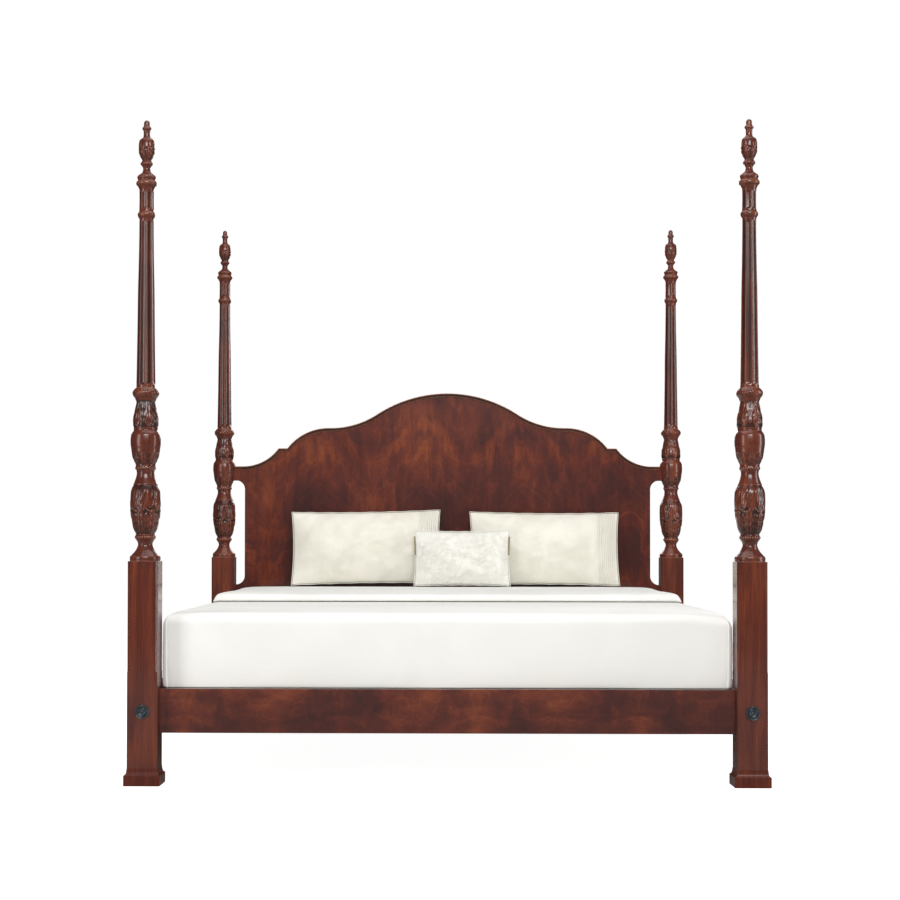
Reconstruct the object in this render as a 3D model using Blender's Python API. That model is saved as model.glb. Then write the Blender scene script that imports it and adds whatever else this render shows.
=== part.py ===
"""A four-poster bed with turned posts, an arched headboard and a made-up king mattress.

Units are metres. +Z is up, +Y runs to the head of the bed and +X to the right of someone
who stands at its foot. The origin is on the floor, midway between the four posts.
"""

import math

import bmesh
import bpy
from mathutils import Matrix, Vector

# Overall sizes and fits
POST_SPACING_X = 2.036
POST_SPACING_Y = 2.12
CONTACT = 0.0003  # gap between pieces that touch or are glued
SLIDE_FIT = 0.0001  # radial clearance of a pin, dowel or screw that moves in its hole
EASED_EDGE = 0.001

# Post: plinth, square block, turned length, tapered shaft and finial
POST_SQUARE = 0.102
PLINTH_PROJECTION = 0.010
PLINTH_FACE = 0.036
PLINTH_HEIGHT = 0.057
CHAMFER = 0.007
CHAMFER_RUN = 0.010
CHAMFER_ABOVE_RAIL = 0.067
BLOCK_TOP = 0.742
TURNING_SIDES = 12
JOINT_DOWEL_RADIUS = 0.012
JOINT_DOWEL_LENGTH = 0.055
FINIAL_DOWEL_RADIUS = 0.008
FINIAL_DOWEL_LENGTH = 0.035
BORE_END_GAP = 0.003

# Turned outlines as (height above the outline's foot, radius), drawn for a post of DRAWN_SQUARE
DRAWN_SQUARE = 0.102
BLOCK_TURNING = (
    (0.000, 0.0505), (0.017, 0.0505), (0.028, 0.0395),  # band on the square block
    (0.040, 0.0300), (0.056, 0.0243), (0.070, 0.0280),  # lower waist
    (0.077, 0.0350), (0.086, 0.0350), (0.093, 0.0325),  # bead
    (0.116, 0.0430), (0.148, 0.0490), (0.190, 0.0526), (0.230, 0.0518),  # vase
    (0.250, 0.0475), (0.262, 0.0410), (0.282, 0.0335),  # hollow above the vase
    (0.302, 0.0293), (0.316, 0.0345), (0.326, 0.0345),  # upper waist and bead
    (0.350, 0.0430), (0.373, 0.0470), (0.400, 0.0502), (0.430, 0.0496),  # urn
    (0.447, 0.0400), (0.454, 0.0400), (0.474, 0.0440),  # groove
    (0.500, 0.0420), (0.550, 0.0336), (0.574, 0.0450), (0.593, 0.0345),  # bell and collar
)
SHAFT_TURNING = (
    (0.000, 0.0320), (0.330, 0.0277), (0.430, 0.0257), (0.545, 0.0241), (0.575, 0.0242),  # taper
    (0.588, 0.0300), (0.600, 0.0242), (0.665, 0.0238),  # ring and neck
    (0.682, 0.0285), (0.690, 0.0353), (0.697, 0.0348), (0.703, 0.0290),  # cap
)
FINIAL_TURNING = (
    (0.000, 0.0283), (0.010, 0.0320), (0.018, 0.0300), (0.029, 0.0135), (0.044, 0.0125),  # foot
    (0.057, 0.0210), (0.068, 0.0165), (0.084, 0.0235), (0.105, 0.0275), (0.132, 0.0262),  # urn
    (0.147, 0.0120), (0.168, 0.0108), (0.178, 0.0152), (0.185, 0.0110),  # disc
    (0.200, 0.0096), (0.206, 0.0030),  # tip
)

# Rails
RAIL_BOTTOM = 0.174
RAIL_HEIGHT = 0.148
RAIL_THICKNESS = 0.032
TENON_DEPTH = 0.012
TENON_SHOULDER_Z = 0.010
TENON_SHOULDER = 0.006

# Bed bolts and their swinging covers
BOLT_RADIUS = 0.004
BOLT_HOLE_GAP = 0.0005
BOLT_STAGGER = BOLT_RADIUS + 0.0015  # side-rail bolts this far above mid-rail, foot-rail below
BOLT_HEAD_RADIUS = BOLT_RADIUS + 0.004
BOLT_HEAD_LENGTH = 0.006
BOLT_REACH = 0.060  # from the post's inner face to the nut
BOLT_PAST_NUT = 0.010
COUNTERBORE_RADIUS = BOLT_HEAD_RADIUS + 0.002
COUNTERBORE_DEPTH = 0.012
NUT_SQUARE = 2 * BOLT_RADIUS + 0.010
NUT_LENGTH = 0.008
NUT_POCKET_GAP = 0.001
PIN_RADIUS = 0.0016
PIN_HEAD_RADIUS = 0.0030
PIN_HEAD_LENGTH = 0.0012
PIN_IN_POST = 0.016
PIN_ABOVE_BOLTS = BOLT_STAGGER + COUNTERBORE_RADIUS + 0.004
COVER_RADIUS = PIN_ABOVE_BOLTS + 0.0045
COVER_RIM_DEPTH = 0.003
COVER_DEPTH = 0.0065
COVER_WALL = 0.0018
COVER_STAND_OFF = 0.0004

# Headboard, outline widths measured inwards from the post and rises from the step below
BOARD_THICKNESS = 0.032
BOARD_HOUSING = 0.012  # how far the board is let into the posts
SLOT_WIDTH = 0.045
SLOT_ABOVE_MATTRESS = 0.051
SLOT_CORNER = 0.040
EAR_ABOVE_BLOCK = 0.358
EAR_HEIGHT = 0.064
EAR_FLAT_WIDTH = 0.037
EAR_HOLLOW_WIDTH = 0.162
EAR_HOLLOW_RISE = 0.082
NOTCH_WIDTH = 0.040
LOBE_WIDTH = 0.188
LOBE_RISE = 0.093
SHOULDER_WIDTH = 0.010
ARCH_RISE = 0.1575
ARCH_INFLECTION = 0.6  # share of the arch's half width that is convex
ARC_STEPS = 6
MOULDING_WIDTH = 0.015
MOULDING_DEPTH = 0.009
MOULDING_END_GAP = 0.001

# Slats, the cleats that carry their ends, and the rail under their middles
CLEAT_WIDTH = 0.025
CLEAT_HEIGHT = 0.022
CLEAT_END_GAP = BOLT_REACH + NUT_LENGTH + 0.015  # leaves the nut pockets open
SLAT_COUNT = 7
SLAT_WIDTH = 0.090
SLAT_THICKNESS = 0.020
SLAT_END_GAP = 0.002
SLAT_FROM_POST = CLEAT_END_GAP + 0.060
CENTRE_RAIL_WIDTH = 0.045
BRACKET_THICKNESS = 0.003
BRACKET_WIDTH = 0.060
BRACKET_REACH = 0.045
BRACKET_ABOVE_RAIL_EDGE = 0.004
BRACKET_BELOW_SLATS = 0.004

# Bedding
FOUNDATION_HEIGHT = 0.052
FOUNDATION_BELOW_RAIL = 0.001
FOUNDATION_SPLIT = 0.006
FOUNDATION_EDGE = 0.012
MATTRESS_HEIGHT = 0.254
MATTRESS_EDGE = 0.035
BEDDING_SIDE_GAP = 0.010
BEDDING_FOOT_GAP = 0.012
BEDDING_HEAD_GAP = 0.030
DUVET_LENGTH = 0.86
DUVET_HEAD_GAP = 0.010
DUVET_INSET = 0.004
DUVET_EDGE = 0.022
DUVET_CROWN = 0.046
DUVET_RISE_SHARE = 0.35  # share of the length over which it rises from the fold to the crown
SHAM_SIZE = (0.655, 0.150, 0.365)
SHAM_GAP = 0.146
SHAM_GAP_CENTRE = 0.036
LUMBAR_SIZE = (0.425, 0.110, 0.255)
LUMBAR_CENTRE = 0.066
PILLOW_LEAN = math.radians(16)
PILLOW_GAP = 0.002
PILLOW_SEAM = 0.003
PILLOW_FULLNESS = 2.6

# Positions worked out from the sizes above
HALF_X = POST_SPACING_X / 2
HALF_Y = POST_SPACING_Y / 2
HALF_POST = POST_SQUARE / 2
INNER_X = HALF_X - HALF_POST
INNER_Y = HALF_Y - HALF_POST
RAIL_TOP = RAIL_BOTTOM + RAIL_HEIGHT
RAIL_MIDDLE = RAIL_BOTTOM + RAIL_HEIGHT / 2
SIDE_RAIL_INNER = HALF_X - RAIL_THICKNESS / 2
CHAMFER_START = RAIL_TOP + CHAMFER_ABOVE_RAIL
POST_JOINT = BLOCK_TOP + BLOCK_TURNING[-1][0]
SHAFT_BOTTOM = POST_JOINT + CONTACT
FINIAL_BOTTOM = SHAFT_BOTTOM + SHAFT_TURNING[-1][0] + CONTACT
PIN_Z = RAIL_MIDDLE + PIN_ABOVE_BOLTS
FOUNDATION_TOP = RAIL_TOP - FOUNDATION_BELOW_RAIL
FOUNDATION_BOTTOM = FOUNDATION_TOP - FOUNDATION_HEIGHT
SLAT_TOP = FOUNDATION_BOTTOM - CONTACT
SLAT_BOTTOM = SLAT_TOP - SLAT_THICKNESS
CLEAT_TOP = SLAT_BOTTOM - CONTACT
MATTRESS_BOTTOM = FOUNDATION_TOP + CONTACT
MATTRESS_TOP = MATTRESS_BOTTOM + MATTRESS_HEIGHT
BOARD_FRONT = HALF_Y - BOARD_THICKNESS / 2
BOARD_END_X = INNER_X + BOARD_HOUSING
SLOT_BOTTOM = MATTRESS_TOP + SLOT_ABOVE_MATTRESS
EAR_BOTTOM = BLOCK_TOP + EAR_ABOVE_BLOCK
EAR_TOP = EAR_BOTTOM + EAR_HEIGHT
BEDDING_HALF_WIDTH = INNER_X - BEDDING_SIDE_GAP
BEDDING_FOOT_Y = BEDDING_FOOT_GAP + RAIL_THICKNESS / 2 - HALF_Y
BEDDING_HEAD_Y = BOARD_FRONT - BEDDING_HEAD_GAP
DUVET_BOTTOM = MATTRESS_TOP + CONTACT
DUVET_HEAD_Y = BEDDING_HEAD_Y - DUVET_HEAD_GAP

CORNERS = {
    "foot_left": (-1, -1),
    "foot_right": (1, -1),
    "head_left": (-1, 1),
    "head_right": (1, 1),
}


# Scene, materials and objects
def clear_scene():
    for obj in list(bpy.data.objects):
        bpy.data.objects.remove(obj, do_unlink=True)


def material(name, colour, roughness, metallic=0.0):
    made = bpy.data.materials.new(name)
    made.use_nodes = True
    shader = made.node_tree.nodes["Principled BSDF"]
    shader.inputs["Base Color"].default_value = (*colour, 1.0)
    shader.inputs["Roughness"].default_value = roughness
    shader.inputs["Metallic"].default_value = metallic
    return made


def add_object(name, bm, finish, place=(0, 0, 0), smooth=False):
    bmesh.ops.recalc_face_normals(bm, faces=bm.faces)
    mesh = bpy.data.meshes.new(name)
    bm.to_mesh(mesh)
    bm.free()
    mesh.materials.append(finish)
    if smooth:
        mesh.shade_smooth()
        mesh.set_sharp_from_angle(angle=math.radians(40))
    obj = bpy.data.objects.new(name, mesh)
    obj.location = place
    bpy.context.scene.collection.objects.link(obj)
    return obj


def cut(obj, cutter):
    """Take the cutter's shape out of the object; the cutter moves with it and stays hidden."""
    cutter.hide_render = True
    cutter.display_type = "WIRE"
    cutter.parent = obj
    modifier = obj.modifiers.new(cutter.name, "BOOLEAN")
    modifier.operation = "DIFFERENCE"
    modifier.solver = "EXACT"
    modifier.object = cutter


# Shapes
def loft(bm, rings):
    """Skin rings of equally many points and close both ends."""
    loops = [[bm.verts.new(point) for point in ring] for ring in rings]
    for lower, upper in zip(loops, loops[1:]):
        for i, vertex in enumerate(lower):
            j = (i + 1) % len(lower)
            bm.faces.new((vertex, lower[j], upper[j], upper[i]))
    bm.faces.new(list(reversed(loops[0])))
    bm.faces.new(loops[-1])


def lofted(rings):
    bm = bmesh.new()
    loft(bm, rings)
    return bm


def circle(radius, height):
    """Ring of points that pair up with those of chamfered_square."""
    first = (TURNING_SIDES / 4 - 1) / 2
    turns = [(i - first) * math.tau / TURNING_SIDES for i in range(TURNING_SIDES)]
    return [(radius * math.cos(a), radius * math.sin(a), height) for a in turns]


def chamfered_square(half, chamfer, height):
    """Square ring with cut corners."""
    per_side = TURNING_SIDES // 4
    ring = []
    for side in range(4):
        turn = Matrix.Rotation(side * math.pi / 2, 3, "Z")
        for i in range(per_side):
            along = (half - chamfer) * (2 * i / (per_side - 1) - 1)
            ring.append(turn @ Vector((half, along, height)))
    return ring


def turned(outline):
    """Solid of revolution about Z from (height, radius) stations."""
    return lofted([circle(radius, height) for height, radius in outline])


def for_this_post(outline):
    """A drawn outline with its radii sized to the post."""
    return tuple((height, radius * POST_SQUARE / DRAWN_SQUARE) for height, radius in outline)


def with_dowel(outline, radius, length):
    """Outline that starts with a dowel below the piece's shoulder at height 0."""
    return ((-length, radius), (0.0, radius), *outline)


def round_hole(radius, bottom, top):
    return turned(((bottom, radius), (top, radius)))


def box_mesh(low, high):
    bm = bmesh.new()
    bmesh.ops.create_cube(bm, size=1)
    for vertex in bm.verts:
        vertex.co = [low[i] if vertex.co[i] < 0 else high[i] for i in range(3)]
    return bm


def board(name, low, high, finish, edge=EASED_EDGE, segments=1):
    """Block between two corners, with its edges rounded over."""
    bm = box_mesh(low, high)
    bmesh.ops.bevel(bm, geom=bm.edges[:], offset=edge, segments=segments, profile=0.5, affect="EDGES")
    return add_object(name, bm, finish, smooth=segments > 1)


def extruded(outline, front, thickness):
    """Solid between an outline in the XZ plane at y = front and its copy further back."""
    bm = bmesh.new()
    face = bm.faces.new([bm.verts.new((x, front, z)) for x, z in outline])
    grown = bmesh.ops.extrude_face_region(bm, geom=[face])["geom"]
    moved = [item for item in grown if isinstance(item, bmesh.types.BMVert)]
    bmesh.ops.translate(bm, verts=moved, vec=(0, thickness, 0))
    return bm


def facing(direction, origin=(0, 0, 0)):
    """Frame whose +Z points along a horizontal direction and whose +Y points up."""
    out, up = Vector(direction), Vector((0, 0, 1))
    return Matrix.Translation(origin) @ Matrix((up.cross(out), up, out)).transposed().to_4x4()


def placed(bm, frame):
    bm.transform(frame)
    return bm


def merged(shapes):
    """One mesh that holds several separate closed shapes."""
    whole = bmesh.new()
    for shape in shapes:
        copy = bpy.data.meshes.new("shape")
        shape.to_mesh(copy)
        shape.free()
        whole.from_mesh(copy)
        bpy.data.meshes.remove(copy)
    return whole


# Posts
def corner_point(corner, height=0.0):
    side, end = CORNERS[corner]
    return Vector((side * HALF_X, end * HALF_Y, height))


def plinth(corner, wood):
    """Square block that the post stands on, coved in to the post's size."""
    half = HALF_POST + PLINTH_PROJECTION
    rings = [
        chamfered_square(half - EASED_EDGE, EASED_EDGE, 0),
        chamfered_square(half, EASED_EDGE, EASED_EDGE),
        chamfered_square(half, EASED_EDGE, PLINTH_FACE),
    ]
    for step in (1, 2, 3):
        turn = step * math.pi / 6
        rise = (PLINTH_HEIGHT - PLINTH_FACE) * (1 - math.cos(turn))
        inset = PLINTH_PROJECTION * math.sin(turn)
        rings.append(chamfered_square(half - inset, EASED_EDGE, PLINTH_FACE + rise))
    return add_object("plinth_" + corner, lofted(rings), wood, corner_point(corner))


def side_box(direction, near, far, half_width, low_z, high_z):
    """Box that runs from near to far along a horizontal direction."""
    low, high = (-half_width, low_z, near), (half_width, high_z, far)
    return placed(box_mesh(low, high), facing(direction))


def post_mortises(corner):
    """Mortises for the rail tenons and, at the head, housings for the headboard."""
    side, end = CORNERS[corner]
    tenon_floor = HALF_POST - TENON_DEPTH - CONTACT
    tenon_half = RAIL_THICKNESS / 2 - TENON_SHOULDER + CONTACT
    tenon_low = RAIL_BOTTOM + TENON_SHOULDER_Z - CONTACT
    tenon_high = RAIL_TOP - TENON_SHOULDER_Z + CONTACT
    tenon = (tenon_floor, POST_SQUARE, tenon_half, tenon_low, tenon_high)
    lengthwise, across = (0, -end, 0), (-side, 0, 0)
    if end < 0:
        return [side_box(lengthwise, *tenon), side_box(across, *tenon)]
    board_floor = HALF_POST - BOARD_HOUSING - CONTACT
    board_half = BOARD_THICKNESS / 2 + CONTACT
    board_span = (board_floor, POST_SQUARE, board_half)
    return [
        side_box(lengthwise, *tenon),
        side_box(across, *board_span, RAIL_BOTTOM - CONTACT, SLOT_BOTTOM + CONTACT),
        side_box(across, *board_span, EAR_BOTTOM - CONTACT, EAR_TOP + CONTACT),
    ]


def bed_bolts(corner):
    """The rail, outward direction and height of each bed bolt that enters this post."""
    side, end = CORNERS[corner]
    bolts = [("side_rail", (0, end, 0), RAIL_MIDDLE + BOLT_STAGGER)]
    if end < 0:
        bolts.append(("foot_rail", (side, 0, 0), RAIL_MIDDLE - BOLT_STAGGER))
    return bolts


def bolt_hole(direction, height):
    """Through hole with a counterbore in the post's outer face."""
    floor, past = HALF_POST - COUNTERBORE_DEPTH, 2 * HALF_POST
    hole = BOLT_RADIUS + BOLT_HOLE_GAP
    outline = ((-past, hole), (floor, hole), (floor, COUNTERBORE_RADIUS), (past, COUNTERBORE_RADIUS))
    return placed(turned(outline), facing(direction, (0, 0, height)))


def pin_hole(direction):
    hole = round_hole(PIN_RADIUS + CONTACT, HALF_POST - PIN_IN_POST - CONTACT, POST_SQUARE)
    return placed(hole, facing(direction, (0, 0, PIN_Z)))


def lower_post(corner, wood):
    """Square block with stopped chamfers, and the turned length above it."""
    rings = [
        chamfered_square(HALF_POST, EASED_EDGE, PLINTH_HEIGHT + CONTACT),
        chamfered_square(HALF_POST, EASED_EDGE, CHAMFER_START - CHAMFER_RUN),
        chamfered_square(HALF_POST, CHAMFER, CHAMFER_START),
        chamfered_square(HALF_POST, CHAMFER, BLOCK_TOP),
    ]
    for height, radius in for_this_post(BLOCK_TURNING):
        rings.append(circle(radius, BLOCK_TOP + height))
    name = "lower_post_" + corner
    post = add_object(name, lofted(rings), wood, corner_point(corner), smooth=True)
    bore_floor = POST_JOINT - JOINT_DOWEL_LENGTH - BORE_END_GAP
    bore = round_hole(JOINT_DOWEL_RADIUS + CONTACT, bore_floor, POST_JOINT + BORE_END_GAP)
    bolts = bed_bolts(corner)
    pin_holes = [pin_hole(direction) for _, direction, _ in bolts]
    cut(post, add_object(name + "_mortises", merged([bore, *pin_holes, *post_mortises(corner)]), wood))
    for rail, direction, height in bolts:
        cut(post, add_object(f"{name}_{rail}_bolt_hole", bolt_hole(direction, height), wood))


def upper_post(corner, wood):
    """Tapered shaft with a ring and a cap, doweled into the lower post."""
    name = "upper_post_" + corner
    outline = with_dowel(for_this_post(SHAFT_TURNING), JOINT_DOWEL_RADIUS, JOINT_DOWEL_LENGTH)
    place = corner_point(corner, SHAFT_BOTTOM)
    shaft = add_object(name, turned(outline), wood, place, smooth=True)
    top = outline[-1][0]
    floor = top - FINIAL_DOWEL_LENGTH - BORE_END_GAP
    bore = round_hole(FINIAL_DOWEL_RADIUS + SLIDE_FIT, floor, top + BORE_END_GAP)
    cut(shaft, add_object(name + "_bore", bore, wood))


def finial(corner, wood):
    """Urn finial that lifts out of the cap with its dowel."""
    outline = with_dowel(for_this_post(FINIAL_TURNING), FINIAL_DOWEL_RADIUS, FINIAL_DOWEL_LENGTH)
    place = corner_point(corner, FINIAL_BOTTOM)
    add_object("finial_" + corner, turned(outline), wood, place, smooth=True)


# Bed bolts and covers
def bed_bolt(name, corner, direction, height, steel):
    """Bolt that draws a rail to the post, with its square nut screwed on."""
    head = HALF_POST - COUNTERBORE_DEPTH + CONTACT
    nut_outer = -HALF_POST - BOLT_REACH
    nut_inner = nut_outer - NUT_LENGTH
    rings = [
        circle(BOLT_RADIUS, nut_inner - BOLT_PAST_NUT),
        circle(BOLT_RADIUS, nut_inner),
        chamfered_square(NUT_SQUARE / 2, EASED_EDGE, nut_inner),
        chamfered_square(NUT_SQUARE / 2, EASED_EDGE, nut_outer),
        circle(BOLT_RADIUS, nut_outer),
        circle(BOLT_RADIUS, head),
        circle(BOLT_HEAD_RADIUS, head),
        circle(BOLT_HEAD_RADIUS, head + BOLT_HEAD_LENGTH),
    ]
    bolt = add_object(name, lofted(rings), steel, smooth=True)
    bolt.matrix_world = facing(direction, corner_point(corner, height))


def cover_rings():
    """Stepped dish, hollow behind, from the middle of its back round the rim to its front."""
    step, dome, middle = 0.62 * COVER_RADIUS, 0.50 * COVER_RADIUS, 0.24 * COVER_RADIUS
    skirt = COVER_RADIUS - COVER_WALL
    back = (
        (middle, COVER_DEPTH - 1.5 * COVER_WALL),
        (dome - COVER_WALL, COVER_DEPTH - COVER_WALL),
        (step - COVER_WALL, COVER_RIM_DEPTH - COVER_WALL),
        (skirt, COVER_RIM_DEPTH - COVER_WALL),
        (skirt, 0.0),
    )
    front = (
        (COVER_RADIUS, 0.0),
        (COVER_RADIUS, COVER_RIM_DEPTH),
        (step, COVER_RIM_DEPTH),
        (dome, COVER_DEPTH),
        (middle, COVER_DEPTH - COVER_WALL / 2),
    )
    return [circle(radius, COVER_STAND_OFF + depth) for radius, depth in back + front]


def on_outer_face(corner, direction, height):
    """Frame on the post's outer face, with +Z out of it and +Y up."""
    return facing(direction, corner_point(corner, height) + HALF_POST * Vector(direction))


def bolt_cover(name, corner, direction, bronze):
    """Dished cover that hangs from its pin; its origin is on the pin's axis."""
    bm = placed(lofted(cover_rings()), Matrix.Translation((0, -PIN_ABOVE_BOLTS, 0)))
    cover = add_object(name, bm, bronze, smooth=True)
    hole = round_hole(PIN_RADIUS + SLIDE_FIT, -COVER_DEPTH, 2 * COVER_DEPTH)
    cut(cover, add_object(name + "_pin_hole", hole, bronze))
    cover.matrix_world = on_outer_face(corner, direction, PIN_Z)


def cover_pin(name, corner, direction, bronze):
    """Round-headed pin driven into the post, which the cover swings on."""
    head = COVER_STAND_OFF + COVER_RIM_DEPTH + CONTACT
    outline = (
        (-PIN_IN_POST, PIN_RADIUS), (head, PIN_RADIUS), (head, PIN_HEAD_RADIUS),
        (head + PIN_HEAD_LENGTH / 2, PIN_HEAD_RADIUS), (head + PIN_HEAD_LENGTH, PIN_HEAD_RADIUS / 2),
    )
    pin = add_object(name, turned(outline), bronze, smooth=True)
    pin.matrix_world = on_outer_face(corner, direction, PIN_Z)


def bolt_set(corner, steel, bronze):
    for rail, direction, height in bed_bolts(corner):
        place = f"{rail}_{corner}"
        bed_bolt("bed_bolt_" + place, corner, direction, height, steel)
        bolt_cover("bolt_cover_" + place, corner, direction, bronze)
        cover_pin("cover_pin_" + place, corner, direction, bronze)


# Rails
def rail_rings(half):
    """Cross sections along X of a rail with a stub tenon at each end."""
    thick, slim = RAIL_THICKNESS / 2, RAIL_THICKNESS / 2 - TENON_SHOULDER
    low, high = RAIL_BOTTOM + TENON_SHOULDER_Z, RAIL_TOP - TENON_SHOULDER_Z
    body = ((thick, RAIL_BOTTOM), (thick, RAIL_TOP), (-thick, RAIL_TOP), (-thick, RAIL_BOTTOM))
    tenon = ((slim, low), (slim, high), (-slim, high), (-slim, low))
    tip = half + TENON_DEPTH
    stations = ((-tip, tenon), (-half, tenon), (-half, body), (half, body), (half, tenon), (tip, tenon))
    return [[(x, y, z) for y, z in section] for x, section in stations]


def rail(name, gap, place, turn, bolt_height, wood):
    """Rail that fills a gap between two posts; its inner face is at +Y before it is turned."""
    obj = add_object(name, lofted(rail_rings(gap / 2 - CONTACT)), wood)
    nut_outer = gap / 2 - BOLT_REACH
    nut_inner = nut_outer - NUT_LENGTH
    half_pocket = NUT_SQUARE / 2 + NUT_POCKET_GAP
    for end in (-1, 1):
        hole = round_hole(BOLT_RADIUS + BOLT_HOLE_GAP, nut_inner - 2 * BOLT_PAST_NUT, gap)
        placed(hole, facing((end, 0, 0), (0, 0, bolt_height)))
        cut(obj, add_object(f"{name}_hole_{end}", hole, wood))
        ends = sorted((end * (nut_inner - NUT_POCKET_GAP), end * (nut_outer + NUT_POCKET_GAP)))
        low = (ends[0], -half_pocket, bolt_height - half_pocket)
        high = (ends[1], RAIL_THICKNESS, bolt_height + half_pocket)
        cut(obj, add_object(f"{name}_pocket_{end}", box_mesh(low, high), wood))
    obj.location = place
    obj.rotation_euler = (0, 0, turn)


def rails(wood):
    rail("foot_rail", 2 * INNER_X, (0, -HALF_Y, 0), 0, RAIL_MIDDLE - BOLT_STAGGER, wood)
    for name, side in (("left", -1), ("right", 1)):
        place, turn = (side * HALF_X, 0, 0), side * math.pi / 2
        rail("side_rail_" + name, 2 * INNER_Y, place, turn, RAIL_MIDDLE + BOLT_STAGGER, wood)


def cleats(softwood):
    """Ledges glued inside the side rails, which carry the slats."""
    end = INNER_Y - CLEAT_END_GAP
    outer = SIDE_RAIL_INNER - CONTACT
    for name, side in (("left", -1), ("right", 1)):
        x = sorted((side * outer, side * (outer - CLEAT_WIDTH)))
        low, high = (x[0], -end, CLEAT_TOP - CLEAT_HEIGHT), (x[1], end, CLEAT_TOP)
        board("slat_cleat_" + name, low, high, softwood)


# Headboard
def arc(centre, radius, start, end, steps=ARC_STEPS):
    """Points on a circle; angles run clockwise from straight up."""
    turns = [start + (end - start) * i / steps for i in range(steps + 1)]
    return [(centre[0] + radius * math.sin(a), centre[1] + radius * math.cos(a)) for a in turns]


def radius_of_arc(width, rise):
    """Radius of an arc that is level at one end and covers this width and rise."""
    return (width**2 + rise**2) / (2 * rise)


def crest(end_x):
    """Right half of the headboard's top edge, from its centre out to end_x."""
    notch_top = EAR_TOP + EAR_HOLLOW_RISE
    shoulder = notch_top + LOBE_RISE
    hollow_end = INNER_X - EAR_FLAT_WIDTH
    notch_end = hollow_end - EAR_HOLLOW_WIDTH
    lobe_end = notch_end - NOTCH_WIDTH
    lobe_start = lobe_end - LOBE_WIDTH
    arch_end = lobe_start - SHOULDER_WIDTH
    lean = 2 * math.atan2(ARCH_RISE, arch_end)
    both_radii = arch_end / math.sin(lean)
    convex = both_radii * ARCH_INFLECTION
    concave = both_radii - convex
    lobe = radius_of_arc(LOBE_WIDTH, LOBE_RISE)
    hollow = radius_of_arc(EAR_HOLLOW_WIDTH, EAR_HOLLOW_RISE)
    hollow_lean = math.asin(EAR_HOLLOW_WIDTH / hollow)
    path = arc((0, shoulder + ARCH_RISE - convex), convex, 0, lean)
    path += arc((arch_end, shoulder + concave), concave, math.pi + lean, math.pi)[1:]
    path += arc((lobe_start, shoulder - lobe), lobe, 0, math.asin(LOBE_WIDTH / lobe))
    path += arc((hollow_end, EAR_TOP + hollow), hollow, math.pi + hollow_lean, math.pi)
    return path + [(end_x, EAR_TOP)]


def mirrored(half):
    """A right-hand path completed with its mirror image, from left to right."""
    return [(-x, z) for x, z in reversed(half) if x > 0] + half


def slot_side():
    """Right edge of the board from the ear down round the slot to its foot."""
    edge, corner = INNER_X - SLOT_WIDTH, SLOT_CORNER
    quarter = math.pi / 2
    upper = arc((edge + corner, EAR_BOTTOM - corner), corner, 0, -quarter)
    lower = arc((edge + corner, SLOT_BOTTOM + corner), corner, -quarter, -2 * quarter)
    foot = [(BOARD_END_X, SLOT_BOTTOM), (BOARD_END_X, RAIL_TOP + CONTACT)]
    return [(BOARD_END_X, EAR_BOTTOM), *upper, *lower, *foot]


def headboard_panel(veneer):
    """Arched board let into both posts, with an open slot beside each post."""
    right = crest(BOARD_END_X) + slot_side()
    outline = right + [(-x, z) for x, z in reversed(right) if x > 0]
    add_object("headboard_panel", extruded(outline, BOARD_FRONT, BOARD_THICKNESS), veneer)


def inset_path(path, distance):
    """The path moved down square to itself, with mitred corners."""
    inner = []
    for i, point in enumerate(path):
        before = Vector(point) - Vector(path[i - 1]) if i else None
        after = Vector(path[i + 1]) - Vector(point) if i + 1 < len(path) else None
        before, after = before or after, after or before
        normals = [Vector((step.y, -step.x)).normalized() for step in (before, after)]
        middle = (normals[0] + normals[1]).normalized()
        inner.append(Vector(point) + middle * distance / middle.dot(normals[0]))
    return [tuple(point) for point in inner]


def crest_moulding(wood):
    """Moulding planted on the board's face along its top edge."""
    path = mirrored(crest(INNER_X - MOULDING_END_GAP))
    outline = path + list(reversed(inset_path(path, MOULDING_WIDTH)))
    front = BOARD_FRONT - CONTACT - MOULDING_DEPTH
    add_object("headboard_crest_moulding", extruded(outline, front, MOULDING_DEPTH), wood)


def headboard_rail(wood):
    """Lower rail of the headboard, under the board and of its thickness."""
    low = (-BOARD_END_X, BOARD_FRONT, RAIL_BOTTOM)
    high = (BOARD_END_X, BOARD_FRONT + BOARD_THICKNESS, RAIL_TOP)
    board("headboard_lower_rail", low, high, wood)


# Slats and the rail under their middles
def slats(softwood):
    end = SIDE_RAIL_INNER - SLAT_END_GAP
    first = INNER_Y - SLAT_FROM_POST
    for index in range(SLAT_COUNT):
        y = first * (2 * index / (SLAT_COUNT - 1) - 1)
        low = (-end, y - SLAT_WIDTH / 2, SLAT_BOTTOM)
        high = (end, y + SLAT_WIDTH / 2, SLAT_TOP)
        board(f"slat_{index + 1}", low, high, softwood)


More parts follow.
